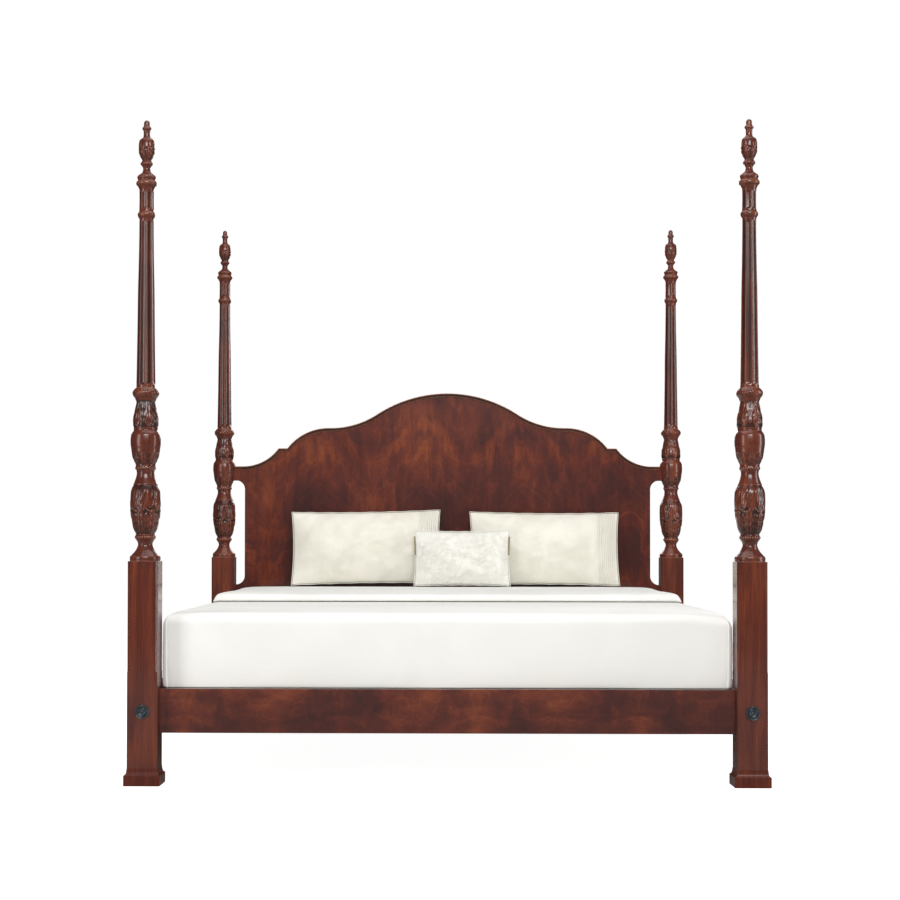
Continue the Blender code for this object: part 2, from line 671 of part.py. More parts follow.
def centre_support(softwood, steel):
    """Rail that runs from foot to head under the slats, with an angle bracket at each end."""
    underside = RAIL_BOTTOM + BRACKET_ABOVE_RAIL_EDGE
    ledge_top = underside + BRACKET_THICKNESS
    half_bracket, half_rail = BRACKET_WIDTH / 2, CENTRE_RAIL_WIDTH / 2
    ends = (("foot", -1, HALF_Y - RAIL_THICKNESS / 2), ("head", 1, BOARD_FRONT))
    rail_ends = []
    for name, side, face in ends:
        outer = face - CONTACT
        inner = outer - BRACKET_THICKNESS
        rail_ends.append(side * (inner - CONTACT))
        section = (
            (outer, underside), (outer, SLAT_BOTTOM - BRACKET_BELOW_SLATS),
            (inner, SLAT_BOTTOM - BRACKET_BELOW_SLATS), (inner, ledge_top),
            (outer - BRACKET_REACH, ledge_top), (outer - BRACKET_REACH, underside),
        )
        rings = [[(x, side * y, z) for y, z in section] for x in (-half_bracket, half_bracket)]
        add_object("centre_rail_bracket_" + name, lofted(rings), steel)
    low = (-half_rail, rail_ends[0], ledge_top + CONTACT)
    high = (half_rail, rail_ends[1], SLAT_BOTTOM - CONTACT)
    board("centre_rail", low, high, softwood)


# Bedding
def foundation(cloth):
    """Two low halves that lie side by side on the slats."""
    for name, side in (("left", -1), ("right", 1)):
        x = sorted((side * FOUNDATION_SPLIT / 2, side * BEDDING_HALF_WIDTH))
        low = (x[0], BEDDING_FOOT_Y, FOUNDATION_BOTTOM)
        high = (x[1], BEDDING_HEAD_Y, FOUNDATION_BOTTOM + FOUNDATION_HEIGHT)
        board("foundation_" + name, low, high, cloth, FOUNDATION_EDGE, 2)


def mattress(cloth):
    low = (-BEDDING_HALF_WIDTH, BEDDING_FOOT_Y, MATTRESS_BOTTOM)
    high = (BEDDING_HALF_WIDTH, BEDDING_HEAD_Y, MATTRESS_TOP)
    board("mattress", low, high, cloth, MATTRESS_EDGE, 3)


def duvet(cloth):
    """Turned-down bedding over the head half: a rounded fold that rises to a crown."""
    half = BEDDING_HALF_WIDTH - DUVET_INSET
    across = [math.sin(math.pi / 2 * i / 5) for i in range(-5, 6)]
    rings = []
    for share in (0.0, 0.02, 0.12, 0.24, 0.35, 0.98, 1.0):
        rise = min(1.0, share / DUVET_RISE_SHARE)
        crown = DUVET_EDGE + (DUVET_CROWN - DUVET_EDGE) * rise * rise * (3 - 2 * rise)
        end = share in (0.0, 1.0)
        y = DUVET_HEAD_Y - DUVET_LENGTH * (1 - share)
        low = DUVET_BOTTOM + (DUVET_EDGE / 3 if end else 0.0)
        top = []
        for u in across:
            thick = DUVET_EDGE + (crown - DUVET_EDGE) * (1 - abs(u) ** 6)
            top.append((half * u, y, DUVET_BOTTOM + thick * (2 / 3 if end else 1.0)))
        bottom = [(half * u, y, low) for u in reversed(across)]
        rings.append(top + bottom)
    add_object("folded_duvet", lofted(rings), cloth, smooth=True)


def pillow_bulge(size, u, v=0.0):
    """Half the pillow's thickness at a place given from -1 to 1 across and up."""
    full = (1 - abs(u) ** PILLOW_FULLNESS) * (1 - abs(v) ** PILLOW_FULLNESS)
    return PILLOW_SEAM / 2 + (size[1] - PILLOW_SEAM) / 2 * math.sqrt(max(full, 0.0))


def pillow_mesh(size):
    """Upright cushion centred on the origin, full in the middle and thin at its seam."""
    steps = [math.sin(math.pi / 2 * i / 3) for i in range(-3, 4)]
    rings = []
    for u in steps:
        front = [(u * size[0] / 2, -pillow_bulge(size, u, v), v * size[2] / 2) for v in steps]
        back = [(x, -y, z) for x, y, z in reversed(front)]
        rings.append(front + back)
    return placed(lofted(rings), Matrix.Rotation(-PILLOW_LEAN, 4, "X"))


def pillow(name, bm, x, y, cloth):
    """Stand a leaning pillow on the duvet at this place."""
    lowest = min(vertex.co.z for vertex in bm.verts)
    z = DUVET_BOTTOM + DUVET_CROWN + PILLOW_GAP - lowest
    return add_object(name, bm, cloth, (x, y, z), smooth=True)


def lumbar_stand_off():
    """Distance between the mid-planes of the lumbar pillow and the shams when they touch."""
    closest = 0.0
    for i in range(-20, 21):
        u = i / 20
        x = LUMBAR_CENTRE + u * LUMBAR_SIZE[0] / 2
        into_sham = abs(x - SHAM_GAP_CENTRE) - SHAM_GAP / 2
        if into_sham > 0:
            sham_u = min(0.0, 2 * into_sham / SHAM_SIZE[0] - 1)
            both = pillow_bulge(LUMBAR_SIZE, u) + pillow_bulge(SHAM_SIZE, sham_u)
            closest = max(closest, both)
    return closest + 2 * PILLOW_GAP


def pillows(sham_cloth, lumbar_cloth):
    """Two shams that lean on the headboard and a lumbar pillow that leans on them."""
    for name, side in (("left", -1), ("right", 1)):
        bm = pillow_mesh(SHAM_SIZE)
        y = BOARD_FRONT - PILLOW_GAP - max(vertex.co.y for vertex in bm.verts)
        x = SHAM_GAP_CENTRE + side * (SHAM_GAP + SHAM_SIZE[0]) / 2
        sham = pillow("sham_" + name, bm, x, y, sham_cloth)
    lumbar = pillow("lumbar_pillow", pillow_mesh(LUMBAR_SIZE), LUMBAR_CENTRE, 0, lumbar_cloth)
    drop = lumbar.location.z - sham.location.z
    forward = (lumbar_stand_off() - drop * math.sin(PILLOW_LEAN)) / math.cos(PILLOW_LEAN)
    lumbar.location.y = sham.location.y - forward


def main():
    clear_scene()
    mahogany = material("mahogany", (0.115, 0.030, 0.022), 0.28)
    carved = material("carved_mahogany", (0.125, 0.036, 0.024), 0.32)
    veneer = material("flame_mahogany", (0.130, 0.030, 0.020), 0.25)
    softwood = material("pine", (0.55, 0.38, 0.20), 0.60)
    bronze = material("bronze", (0.045, 0.048, 0.052), 0.35, metallic=0.9)
    steel = material("zinc_steel", (0.50, 0.50, 0.48), 0.40, metallic=1.0)
    ticking = material("foundation_ticking", (0.72, 0.70, 0.66), 0.90)
    percale = material("white_percale", (0.84, 0.83, 0.79), 0.85)
    duvet_cotton = material("duvet_cotton", (0.86, 0.85, 0.82), 0.85)
    sham_cloth = material("sham_cream", (0.78, 0.74, 0.60), 0.75)
    lumbar_cloth = material("lumbar_ivory", (0.80, 0.78, 0.70), 0.85)
    for corner in CORNERS:
        plinth(corner, mahogany)
        lower_post(corner, carved)
        upper_post(corner, carved)
        finial(corner, carved)
        bolt_set(corner, steel, bronze)
    rails(veneer)
    cleats(softwood)
    headboard_panel(veneer)
    crest_moulding(mahogany)
    headboard_rail(mahogany)
    slats(softwood)
    centre_support(softwood, steel)
    foundation(ticking)
    mattress(percale)
    duvet(duvet_cotton)
    pillows(sham_cloth, lumbar_cloth)


main()
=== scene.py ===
"""Looks of the four-poster bed: carved mahogany posts, flame veneer and made-up bedding.

Units are metres, with +Z up and +Y to the head of the bed. Places and outer sizes are read from the
frame's nodes; the sizes named below are those of the finer shapes.
"""

import math

import bpy
import numpy as np
from mathutils import Matrix, Vector


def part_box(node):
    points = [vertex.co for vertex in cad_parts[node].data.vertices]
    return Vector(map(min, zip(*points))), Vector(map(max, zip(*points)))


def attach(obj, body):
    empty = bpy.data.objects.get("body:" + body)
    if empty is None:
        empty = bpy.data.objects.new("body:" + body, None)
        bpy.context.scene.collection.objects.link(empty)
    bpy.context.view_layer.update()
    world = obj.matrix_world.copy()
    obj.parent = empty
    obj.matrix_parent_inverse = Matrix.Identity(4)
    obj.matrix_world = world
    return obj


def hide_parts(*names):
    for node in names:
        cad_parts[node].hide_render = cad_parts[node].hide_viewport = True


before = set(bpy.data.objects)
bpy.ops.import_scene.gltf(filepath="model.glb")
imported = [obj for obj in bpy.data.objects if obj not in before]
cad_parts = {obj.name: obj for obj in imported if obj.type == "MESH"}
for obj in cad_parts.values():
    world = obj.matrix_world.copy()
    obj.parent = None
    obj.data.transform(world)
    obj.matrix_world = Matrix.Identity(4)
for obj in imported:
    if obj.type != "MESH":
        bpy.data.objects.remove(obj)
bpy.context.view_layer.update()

MM = 0.001
HALF_POST = 0.051
RAIL_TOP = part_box("foot_rail")[1].z
TAU = math.tau
CORNERS = {"foot_left": (-1, -1), "foot_right": (1, -1), "head_left": (-1, 1), "head_right": (1, 1)}

# Turned outlines as smooth runs of (height, radius) in millimetres; runs meet at sharp fillets
BLOCK_RUNS = (
    ((0, 50.8), (15, 50.8), (17.5, 49.6)),  # band on the square block
    ((20, 46), (27, 40), (34, 34), (47, 27), (55, 24.4), (62, 25), (69, 28), (73, 31)),
    ((76, 32.5), (79, 34.9), (82, 35.6), (85, 34.9), (88, 32.5)),  # beaded ring
    (
        (91, 32), (101, 37.5), (115, 43), (134, 45.5), (158, 50.5), (193, 52.8), (222, 52),
        (242, 50.5), (255, 45.5), (262, 41.2), (276, 35.3), (289, 31.2), (300, 29.3), (311, 30.5),
    ),  # vase and the hollow above it
    ((312, 31), (314.5, 34), (317.5, 35), (321, 34.5), (324, 33.2), (327, 33)),  # beaded ring
    (
        (329, 33.5), (336, 36.5), (350, 42.5), (363, 46.2), (383, 48), (397, 50.2), (424, 50),
        (433, 48.6), (440, 45), (444, 42),
    ),  # urn
    ((447, 40), (454, 40)),
    ((456, 41), (464, 43.2), (478, 44), (495, 42.5), (515, 39), (535, 35), (550, 33.6)),  # bell
    ((552, 34), (559, 36.5), (565, 41.5), (571, 44.3), (576, 45.1), (581, 44), (586, 41), (593, 34.5)),
)
SHAFT_RUNS = (
    ((0, 32), (115, 30.2), (225, 28.8), (325, 27.8), (425, 25.6), (525, 24.2), (573, 24)),
    ((575, 24.5), (579, 27.5), (583.5, 29.5), (588, 30.2), (592.5, 29), (596, 25.5)),  # ring
    ((598, 24.8), (640, 24), (672, 24.4)),  # neck
    ((674, 25), (679, 27), (683, 29.2), (686, 31), (688, 33.8), (692, 35.4), (697, 35), (703, 30)),
)
FINIAL_RUNS = (
    ((0, 28.3), (5, 30), (11, 32), (14, 31), (21, 23.5), (28, 15), (34, 13), (42, 12.3), (50, 15.8)),
    ((51, 17), (54, 20), (57.5, 21.1), (61, 20), (64.5, 17), (66, 16)),
    (
        (68, 16.4), (74, 19), (81, 22.5), (90, 26), (100, 27.5), (114, 27.8), (125, 27.2),
        (133, 25.8), (138, 24), (141, 20.5), (144, 16.5), (148, 12.2), (154, 11.2), (171, 11.6),
    ),  # urn and its neck
    ((173, 13), (175.5, 15.3), (179, 15.3), (181.5, 13.8), (184, 11.5)),  # disc
    ((186, 10.2), (193, 10.2), (199, 9.4), (203, 6.6), (205, 4), (206, 0.5)),  # tip
)
TURNED_LENGTH = 0.584
TURNED_SIDES = 144
FINIAL_SIDES = 96
LEAF_RELIEF = 4.5 * MM
FLUTES = 8
FLUTE_DEPTH = 3.6 * MM


# Meshes
def smoothstep(low, high, value):
    t = np.clip((value - low) / (high - low), 0, 1)
    return t * t * (3 - 2 * t)


def smooth_run(points, step):
    """Points about a step apart on a smooth curve through these points."""
    points = np.array(points, float)
    along = np.concatenate([[0], np.cumsum(np.linalg.norm(np.diff(points, axis=0), axis=1))])
    slopes = np.gradient(points, along, axis=0)
    at = np.linspace(0, along[-1], max(2, math.ceil(along[-1] / step)))
    i = np.clip(np.searchsorted(along, at, side="right") - 1, 0, len(along) - 2)
    width = (along[i + 1] - along[i])[:, None]
    t = (at - along[i])[:, None] / width
    start, end = points[i], points[i + 1]
    bend = (2 * t**3 - 3 * t**2 + 1) * start + (3 * t**2 - 2 * t**3) * end
    return bend + (t**3 - 2 * t**2 + t) * width * slopes[i] + (t**3 - t**2) * width * slopes[i + 1]


def profile(runs, step):
    """Heights and radii in metres along all the runs of a turning."""
    stations = np.concatenate([smooth_run(run, step / MM) for run in runs]) * MM
    return stations[:, 0], stations[:, 1]


def mesh_from(name, points, faces, attributes=()):
    """Mesh from arrays of points and of faces, with named values per point."""
    mesh = bpy.data.meshes.new(name)
    mesh.from_pydata(points.tolist(), [], faces)
    for attribute, values in attributes:
        mesh.attributes.new(attribute, "FLOAT", "POINT").data.foreach_set("value", values.astype(np.float32))
    mesh.validate()
    return mesh


def grid_faces(rows, columns, closed):
    """Quads of a grid of points, row by row; a closed grid joins its last column to its first."""
    spans = columns if closed else columns - 1
    row, column = np.meshgrid(np.arange(rows - 1), np.arange(spans), indexing="ij")
    near, far, beside = row * columns, (row + 1) * columns, (column + 1) % columns
    corners = (near + column, near + beside, far + beside, far + column)
    return np.stack(corners, axis=-1).reshape(-1, 4).tolist()


def capped(rows, columns):
    """Faces of a closed tube of rings with both ends filled."""
    first, last = list(range(columns))[::-1], [(rows - 1) * columns + i for i in range(columns)]
    return grid_faces(rows, columns, True) + [first, last]


def coordinates(obj):
    flat = np.zeros(len(obj.data.vertices) * 3)
    obj.data.vertices.foreach_get("co", flat)
    return flat.reshape(-1, 3)


def moved_to(obj, points):
    obj.data.vertices.foreach_set("co", points.ravel())
    obj.data.update()
    return obj


def add_object(name, mesh, finish, sharp=math.radians(40)):
    obj = bpy.data.objects.new(name, mesh)
    bpy.context.scene.collection.objects.link(obj)
    mesh.materials.append(finish)
    mesh.shade_smooth()
    mesh.set_sharp_from_angle(angle=sharp)
    return obj


def turned(name, runs, sides, step, place, finish, relief=None, stretch=1.0):
    """Solid of revolution at a place, with carving cut into it by a relief function."""
    heights, radii = profile(runs, step)
    angles = np.arange(sides) * TAU / sides
    z, angle = heights[:, None], angles[None, :]
    depth = np.zeros((len(heights), sides)) if relief is None else relief(angle, z)
    reach = radii[:, None] - depth
    upright = np.broadcast_to(stretch * z, reach.shape)
    rings = np.stack([reach * np.cos(angle), reach * np.sin(angle), upright], axis=-1)
    points = rings.reshape(-1, 3) + np.array(place)
    # The cut depth per point also sets the carved finish's glazing and painted shade.
    mesh = mesh_from(name, points, capped(len(heights), sides), [("depth", depth.ravel() / LEAF_RELIEF)])
    return add_object(name, mesh, finish)


def applied(obj):
    """The object with its modifiers made part of its mesh."""
    made = bpy.data.meshes.new_from_object(obj.evaluated_get(bpy.context.evaluated_depsgraph_get()))
    old, made.name = obj.data, obj.data.name
    obj.modifiers.clear()
    obj.data = made
    bpy.data.meshes.remove(old)
    return obj


def cut(obj, cutters):
    """Take the cutters out of the object and delete them."""
    for cutter in cutters:
        modifier = obj.modifiers.new("cut", "BOOLEAN")
        modifier.operation, modifier.solver, modifier.object = "DIFFERENCE", "EXACT", cutter
    applied(obj)
    for cutter in cutters:
        bpy.data.objects.remove(cutter, do_unlink=True)
    return obj


def joined(parts, name):
    """One object that holds several shapes, with all their values per point."""
    with bpy.context.temp_override(active_object=parts[0], selected_editable_objects=parts):
        bpy.ops.object.join()
    parts[0].name = parts[0].data.name = name
    return parts[0]


def bevelled(obj, width, segments=3, limit=math.radians(30)):
    modifier = obj.modifiers.new("eased edges", "BEVEL")
    modifier.width, modifier.segments, modifier.angle_limit = width, segments, limit
    modifier.limit_method, modifier.harden_normals = "ANGLE", False
    return obj


def centre_of(node):
    low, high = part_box(node)
    return (low + high) / 2


def facing(direction, origin):
    """Frame whose +Z points along a horizontal direction and whose +Y points up."""
    out, up = Vector(direction), Vector((0, 0, 1))
    return Matrix.Translation(origin) @ Matrix((up.cross(out), up, out)).transposed().to_4x4()


def settled(piece, body, slot, *nodes):
    """Tie a finished piece to its body and hide the nodes that it stands for; its slot is not used."""
    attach(piece, body)
    if nodes:
        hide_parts(*nodes)
    return piece


# Materials
class Finish:
    """A Principled material with short calls to build its node graph."""

    def __init__(self, name, **sockets):
        self.material = bpy.data.materials.new(name)
        self.material.use_nodes = True
        self.tree = self.material.node_tree
        self.shader = self.tree.nodes["Principled BSDF"]
        self.set(**sockets)
        self.place = self.node("TexCoord").outputs["Object"]

    def set(self, **sockets):
        for name, value in sockets.items():
            self.join(value, self.shader.inputs[name.replace("_", " ")])

    def join(self, value, socket):
        if isinstance(value, bpy.types.NodeSocket):
            self.tree.links.new(value, socket)
        elif socket.type == "RGBA":
            socket.default_value = (*value, 1.0)
        else:
            socket.default_value = value

    def node(self, kind, inputs=(), **settings):
        made = self.tree.nodes.new("ShaderNode" + kind)
        for name, value in settings.items():
            setattr(made, name, value)
        for socket, value in dict(inputs).items():
            self.join(value, made.inputs[socket])
        return made

    def maths(self, operation, *values):
        return self.node("Math", enumerate(values), operation=operation).outputs[0]

    def swayed(self, value, by, share):
        """The value moved up and down by a share of how far a noise lies from its middle."""
        return self.maths("ADD", value, self.maths("MULTIPLY", self.maths("SUBTRACT", by, 0.5), share))

    def stretched(self, scale, turn=(0, 0, 0), source=None):
        inputs = {"Vector": source or self.place, "Scale": scale, "Rotation": turn}
        return self.node("Mapping", inputs).outputs[0]

    def noise(self, vector, scale, detail=3.0, roughness=0.55, distortion=0.0):
        names = ("Vector", "Scale", "Detail", "Roughness", "Distortion")
        values = (vector, scale, detail, roughness, distortion)
        return self.node("TexNoise", zip(names, values)).outputs["Fac"]

    def span(self, value, low, high, to_low=0.0, to_high=1.0):
        inputs = {"Value": value, "From Min": low, "From Max": high, "To Min": to_low, "To Max": to_high}
        return self.node("MapRange", inputs, interpolation_type="SMOOTHSTEP").outputs[0]

    def ramp(self, value, *stops):
        ramp = self.node("ValToRGB", {"Fac": value})
        elements = ramp.color_ramp.elements
        elements.remove(elements[1])
        for i, (position, colour) in enumerate(stops):
            element = elements[0] if i == 0 else elements.new(position)
            element.position, element.color = position, (*colour, 1.0)
        return ramp.outputs["Color"]

    def mixed(self, share, first, second, blend="MIX"):
        mix = self.node("Mix", data_type="RGBA", blend_type=blend)
        for index, value in ((0, share), (6, first), (7, second)):
            self.join(value, mix.inputs[index])
        return mix.outputs[2]

    def bumped(self, height, distance, strength=1.0, onto="Normal"):
        """Relief of this depth in metres on the named normal."""
        before = self.shader.inputs[onto].links
        inputs = {"Height": height, "Distance": distance, "Strength": strength}
        if before:
            inputs["Normal"] = before[0].from_socket
        self.join(self.node("Bump", inputs).outputs[0], self.shader.inputs[onto])


def lacquer(wood, height, distance):
    """Open grain under a glossy coat that levels most of it."""
    wood.bumped(height, distance, 0.5)
    wood.bumped(wood.noise(wood.place, 9.0, 2.0), 0.0006, 0.35, "Coat Normal")
    wood.bumped(height, distance, 0.18, "Coat Normal")


def straight_mahogany(name, along, carved=False, coat=0.75):
    """Red-brown mahogany with its grain along an axis; carved pieces get glazing and painted shade in their
    recesses, and wear with painted highlight on their edges.
    """
    gloss = 0.18 if carved else 0.10
    wood = Finish(name, Coat_Weight=coat, Coat_Roughness=gloss, Coat_IOR=1.45, Specular_IOR_Level=0.15)
    figure_scale, fine_scale = ([lengthwise if axis == along else across for axis in "XYZ"]
                                for lengthwise, across in ((2.2, 34.0), (9.0, 306.0)))
    figure = wood.noise(wood.stretched(figure_scale), 1.0, 5.0, 0.6, 0.6)
    fine = wood.noise(wood.stretched(fine_scale), 1.0, 3.0, 0.7)
    cloud = wood.noise(wood.place, 5.5, 3.0, 0.5)
    colour = wood.ramp(
        figure,
        (0.25, (0.058, 0.0115, 0.0070)), (0.45, (0.112, 0.0215, 0.0105)),
        (0.58, (0.165, 0.0350, 0.0145)), (0.78, (0.235, 0.0570, 0.0210)),
    )
    colour = wood.mixed(wood.span(cloud, 0.35, 0.70, 0.0, 0.45), colour, (0.050, 0.0105, 0.0085))
    colour = wood.mixed(wood.span(fine, 0.42, 0.62, 0.40, 0.0), colour, (0.028, 0.0075, 0.0065))
    if carved:
        # Glazing and painted shade: the deeper a point of the carving is cut, the darker it is painted.
        depth = wood.node("Attribute", attribute_name="depth").outputs["Fac"]
        recess_glaze_and_shade = wood.maths("ADD", depth, wood.span(cloud, 0.3, 0.7, -0.14, 0.14))
        colour = wood.mixed(wood.span(recess_glaze_and_shade, 0.20, 0.80, 0.0, 0.90), colour, (0.016, 0.0062, 0.0052))
        # Wear and painted highlight: the sharp convex edges of the carving are painted a lighter golden
        # brown.
        edge_wear_and_highlight = wood.span(wood.node("NewGeometry").outputs["Pointiness"], 0.505, 0.56, 0.0, 0.50)
        colour = wood.mixed(edge_wear_and_highlight, colour, (0.340, 0.140, 0.070))
    wood.set(Base_Color=colour, Roughness=wood.span(fine, 0.35, 0.65, 0.46, 0.30))
    lacquer(wood, fine, 0.0004)
    return wood.material


# Heights of the painted lighting gradient on the flame veneer: painted shade below the first, painted light
# above the second.
PAINTED_GRADIENT_HEIGHTS = (0.78, 1.22)


def flame_mahogany(name, leaf_width, start, slope, streaks, crown=(0.0, 0.0), across_axis="X"):
    """Book-matched crotch veneer: each leaf mirrors the next and its flames arch over the joints.

    Streaks are the steps per metre of the long figure, and crown paints a lighting gradient: it shifts
    the veneer's tone below and above the two gradient heights, darker low and lighter high on the board.
    """
    wood = Finish(name, Coat_Weight=0.60, Coat_Roughness=0.08, Coat_IOR=1.45, Specular_IOR_Level=0.15)
    axes = wood.node("SeparateXYZ", {"Vector": wood.place}).outputs
    across, rise = axes[across_axis], axes["Z"]
    joints = wood.swayed(wood.maths("ADD", across, start), wood.noise(wood.place, 3.2, 2.0), 0.16)
    folded = wood.maths("PINGPONG", joints, leaf_width)
    arch = wood.maths("SQRT", wood.maths("ADD", wood.maths("MULTIPLY", folded, folded), 0.0009))
    flame = wood.maths("ADD", rise, wood.maths("MULTIPLY", arch, slope))
    lifted = wood.node("CombineXYZ", {"X": folded, "Y": flame, "Z": axes["Y"]}).outputs[0]
    swirl = wood.noise(wood.stretched((6.0, 4.0, 5.0), source=lifted), 1.0, 3.0, 0.55, 0.8)
    flame = wood.maths("ADD", flame, wood.maths("MULTIPLY", swirl, 0.34))
    narrow = wood.maths("MULTIPLY", folded, 5.0)
    leaf = wood.node("CombineXYZ", {"X": narrow, "Y": flame, "Z": axes["Y"]}).outputs[0]
    bands = wood.noise(wood.stretched((1.0, 8.0, 1.0), source=leaf), 1.0, 5.0, 0.62, 0.5)
    fine = wood.noise(wood.stretched((14.0, 90.0, 1.0), source=leaf), 1.0, 3.0, 0.65)
    glow = wood.noise(wood.stretched((3.4, 3.4, 2.2)), 1.0, 3.0, 0.55)
    streak = wood.noise(wood.stretched(streaks), 1.0, 4.0, 0.6, 0.8)
    # Painted light: the tone falls below and rises above the gradient heights.
    value = wood.maths("ADD", bands, wood.span(rise, *PAINTED_GRADIENT_HEIGHTS, *crown))
    for layer, share in ((fine, 0.16), (glow, 0.75), (streak, 0.45)):
        value = wood.swayed(value, layer, share)
    colour = wood.ramp(
        value,
        (0.26, (0.034, 0.0085, 0.0075)), (0.42, (0.064, 0.0125, 0.0088)), (0.53, (0.096, 0.0190, 0.0105)),
        (0.64, (0.140, 0.0300, 0.0130)), (0.80, (0.205, 0.0500, 0.0175)),
    )
    pores = wood.noise(wood.stretched((500.0, 500.0, 60.0)), 1.0, 2.0, 0.6)
    colour = wood.mixed(wood.span(pores, 0.36, 0.44, 0.35, 0.0), colour, (0.030, 0.008, 0.007))
    wood.set(Base_Color=colour, Roughness=wood.span(bands, 0.3, 0.7, 0.40, 0.28))
    lacquer(wood, fine, 0.0003)
    return wood.material


def pine(name):
    wood = Finish(name, Roughness=0.62)
    rings = wood.noise(wood.stretched((1.4, 1.4, 9.0)), 3.0, 4.0, 0.6, 1.2)
    lines = wood.maths("SINE", wood.maths("MULTIPLY", rings, 90.0))
    fine = wood.noise(wood.stretched((30.0, 30.0, 200.0)), 1.0, 3.0, 0.7)
    colour = wood.ramp(wood.span(lines, -1.0, 1.0), (0.0, (0.60, 0.43, 0.24)), (1.0, (0.46, 0.29, 0.13)))
    colour = wood.mixed(wood.span(fine, 0.4, 0.7, 0.0, 0.35), colour, (0.68, 0.52, 0.32))
    wood.set(Base_Color=colour, Roughness=wood.span(fine, 0.3, 0.7, 0.72, 0.52))
    wood.bumped(fine, 0.0004, 0.6)
    return wood.material


def bronze(name):
    """Dark blue-grey patina, smooth and softly shining, with a little metal showing on its rims."""
    metal = Finish(name, Metallic=0.85, Roughness=0.30)
    mottle = metal.noise(metal.place, 70.0, 3.0, 0.5)
    fine = metal.noise(metal.place, 900.0, 2.0, 0.5)
    edge = metal.span(metal.node("NewGeometry").outputs["Pointiness"], 0.53, 0.60, 0.0, 0.22)
    patina = metal.ramp(mottle, (0.3, (0.048, 0.058, 0.068)), (0.7, (0.078, 0.088, 0.098)))
    metal.set(Base_Color=metal.mixed(edge, patina, (0.30, 0.27, 0.22)))
    metal.set(Roughness=metal.span(fine, 0.3, 0.7, 0.26, 0.36))
    metal.bumped(fine, 0.00003, 0.3)
    return metal.material


def zinc(name):
    metal = Finish(name, Metallic=1.0, Roughness=0.38)
    spangle = metal.noise(metal.place, 220.0, 3.0, 0.6)
    metal.set(Base_Color=metal.ramp(spangle, (0.3, (0.42, 0.42, 0.40)), (0.7, (0.62, 0.61, 0.57))))
    metal.set(Roughness=metal.span(spangle, 0.3, 0.7, 0.30, 0.50))
    metal.bumped(spangle, 0.0002, 0.3)
    return metal.material


def woven(name, colour, shade, thread=0.0012, creases=0.0025, crease_scale=4.5, sheen=0.25, satin=None):
    """Plain-woven cloth: crossing threads, uneven yarn, soft creases with painted shade in their hollows, and
    a little sheen.
    """
    cloth = Finish(name, Roughness=0.88, Sheen_Weight=sheen, Sheen_Roughness=0.45, Specular_IOR_Level=0.25)
    if satin:
        cloth.set(Roughness=satin)
    threads = []
    for axis in "XYZ":
        coordinate = cloth.node("SeparateXYZ", {"Vector": cloth.place}).outputs[axis]
        threads.append(cloth.maths("SINE", cloth.maths("MULTIPLY", coordinate, TAU / thread)))
    crossings = [cloth.maths("MULTIPLY", threads[i], threads[j]) for i, j in ((0, 1), (0, 2), (1, 2))]
    weave = cloth.maths("ADD", crossings[0], cloth.maths("ADD", crossings[1], crossings[2]))
    slub = cloth.noise(cloth.stretched((60.0, 400.0, 60.0)), 1.0, 3.0, 0.6)
    soft = cloth.noise(cloth.place, crease_scale, 4.0, 0.55, 0.6)
    # Painted shade: the shade colour fills the low parts of the crease relief, so the creases' hollows read
    # darker.
    tone = cloth.mixed(cloth.span(soft, 0.32, 0.68), shade, colour)
    tone = cloth.mixed(cloth.span(slub, 0.35, 0.65, 0.10, 0.0), tone, shade)
    cloth.set(Base_Color=tone)
    cloth.bumped(soft, creases, 0.8)
    cloth.bumped(weave, 0.00004, 0.4)
    return cloth


def pin_tucks(cloth):
    """Fine upright tucks in a band near one end, over a faint all-over damask."""
    across = cloth.node("Attribute", attribute_name="across").outputs["Fac"]
    band = cloth.maths("MULTIPLY", cloth.span(across, 0.70, 0.74), cloth.span(across, 0.975, 0.95))
    tucks = cloth.maths("MULTIPLY", cloth.maths("SINE", cloth.maths("MULTIPLY", across, TAU * 34)), band)
    cloth.bumped(tucks, 0.0016, 0.8)
    figure = cloth.noise(cloth.place, 26.0, 2.0, 0.4, 2.2)
    cloth.bumped(cloth.span(figure, 0.46, 0.54), 0.0005, 0.5)


def brocade(cloth):
    """Raised flowers and stems with a lace ground between them."""
    cells = {"Vector": cloth.place, "Scale": 34.0}
    blossom = cloth.node("TexVoronoi", cells, feature="SMOOTH_F1").outputs["Distance"]
    stems = cloth.noise(cloth.place, 42.0, 2.0, 0.45, 2.6)
    lace = cloth.node("TexVoronoi", {"Vector": cloth.place, "Scale": 190.0}).outputs["Distance"]
    raised = cloth.maths("MAXIMUM", cloth.span(blossom, 0.42, 0.25), cloth.span(stems, 0.50, 0.57))
    cloth.bumped(raised, 0.0017, 0.9)
    cloth.bumped(lace, 0.0008, 0.6)


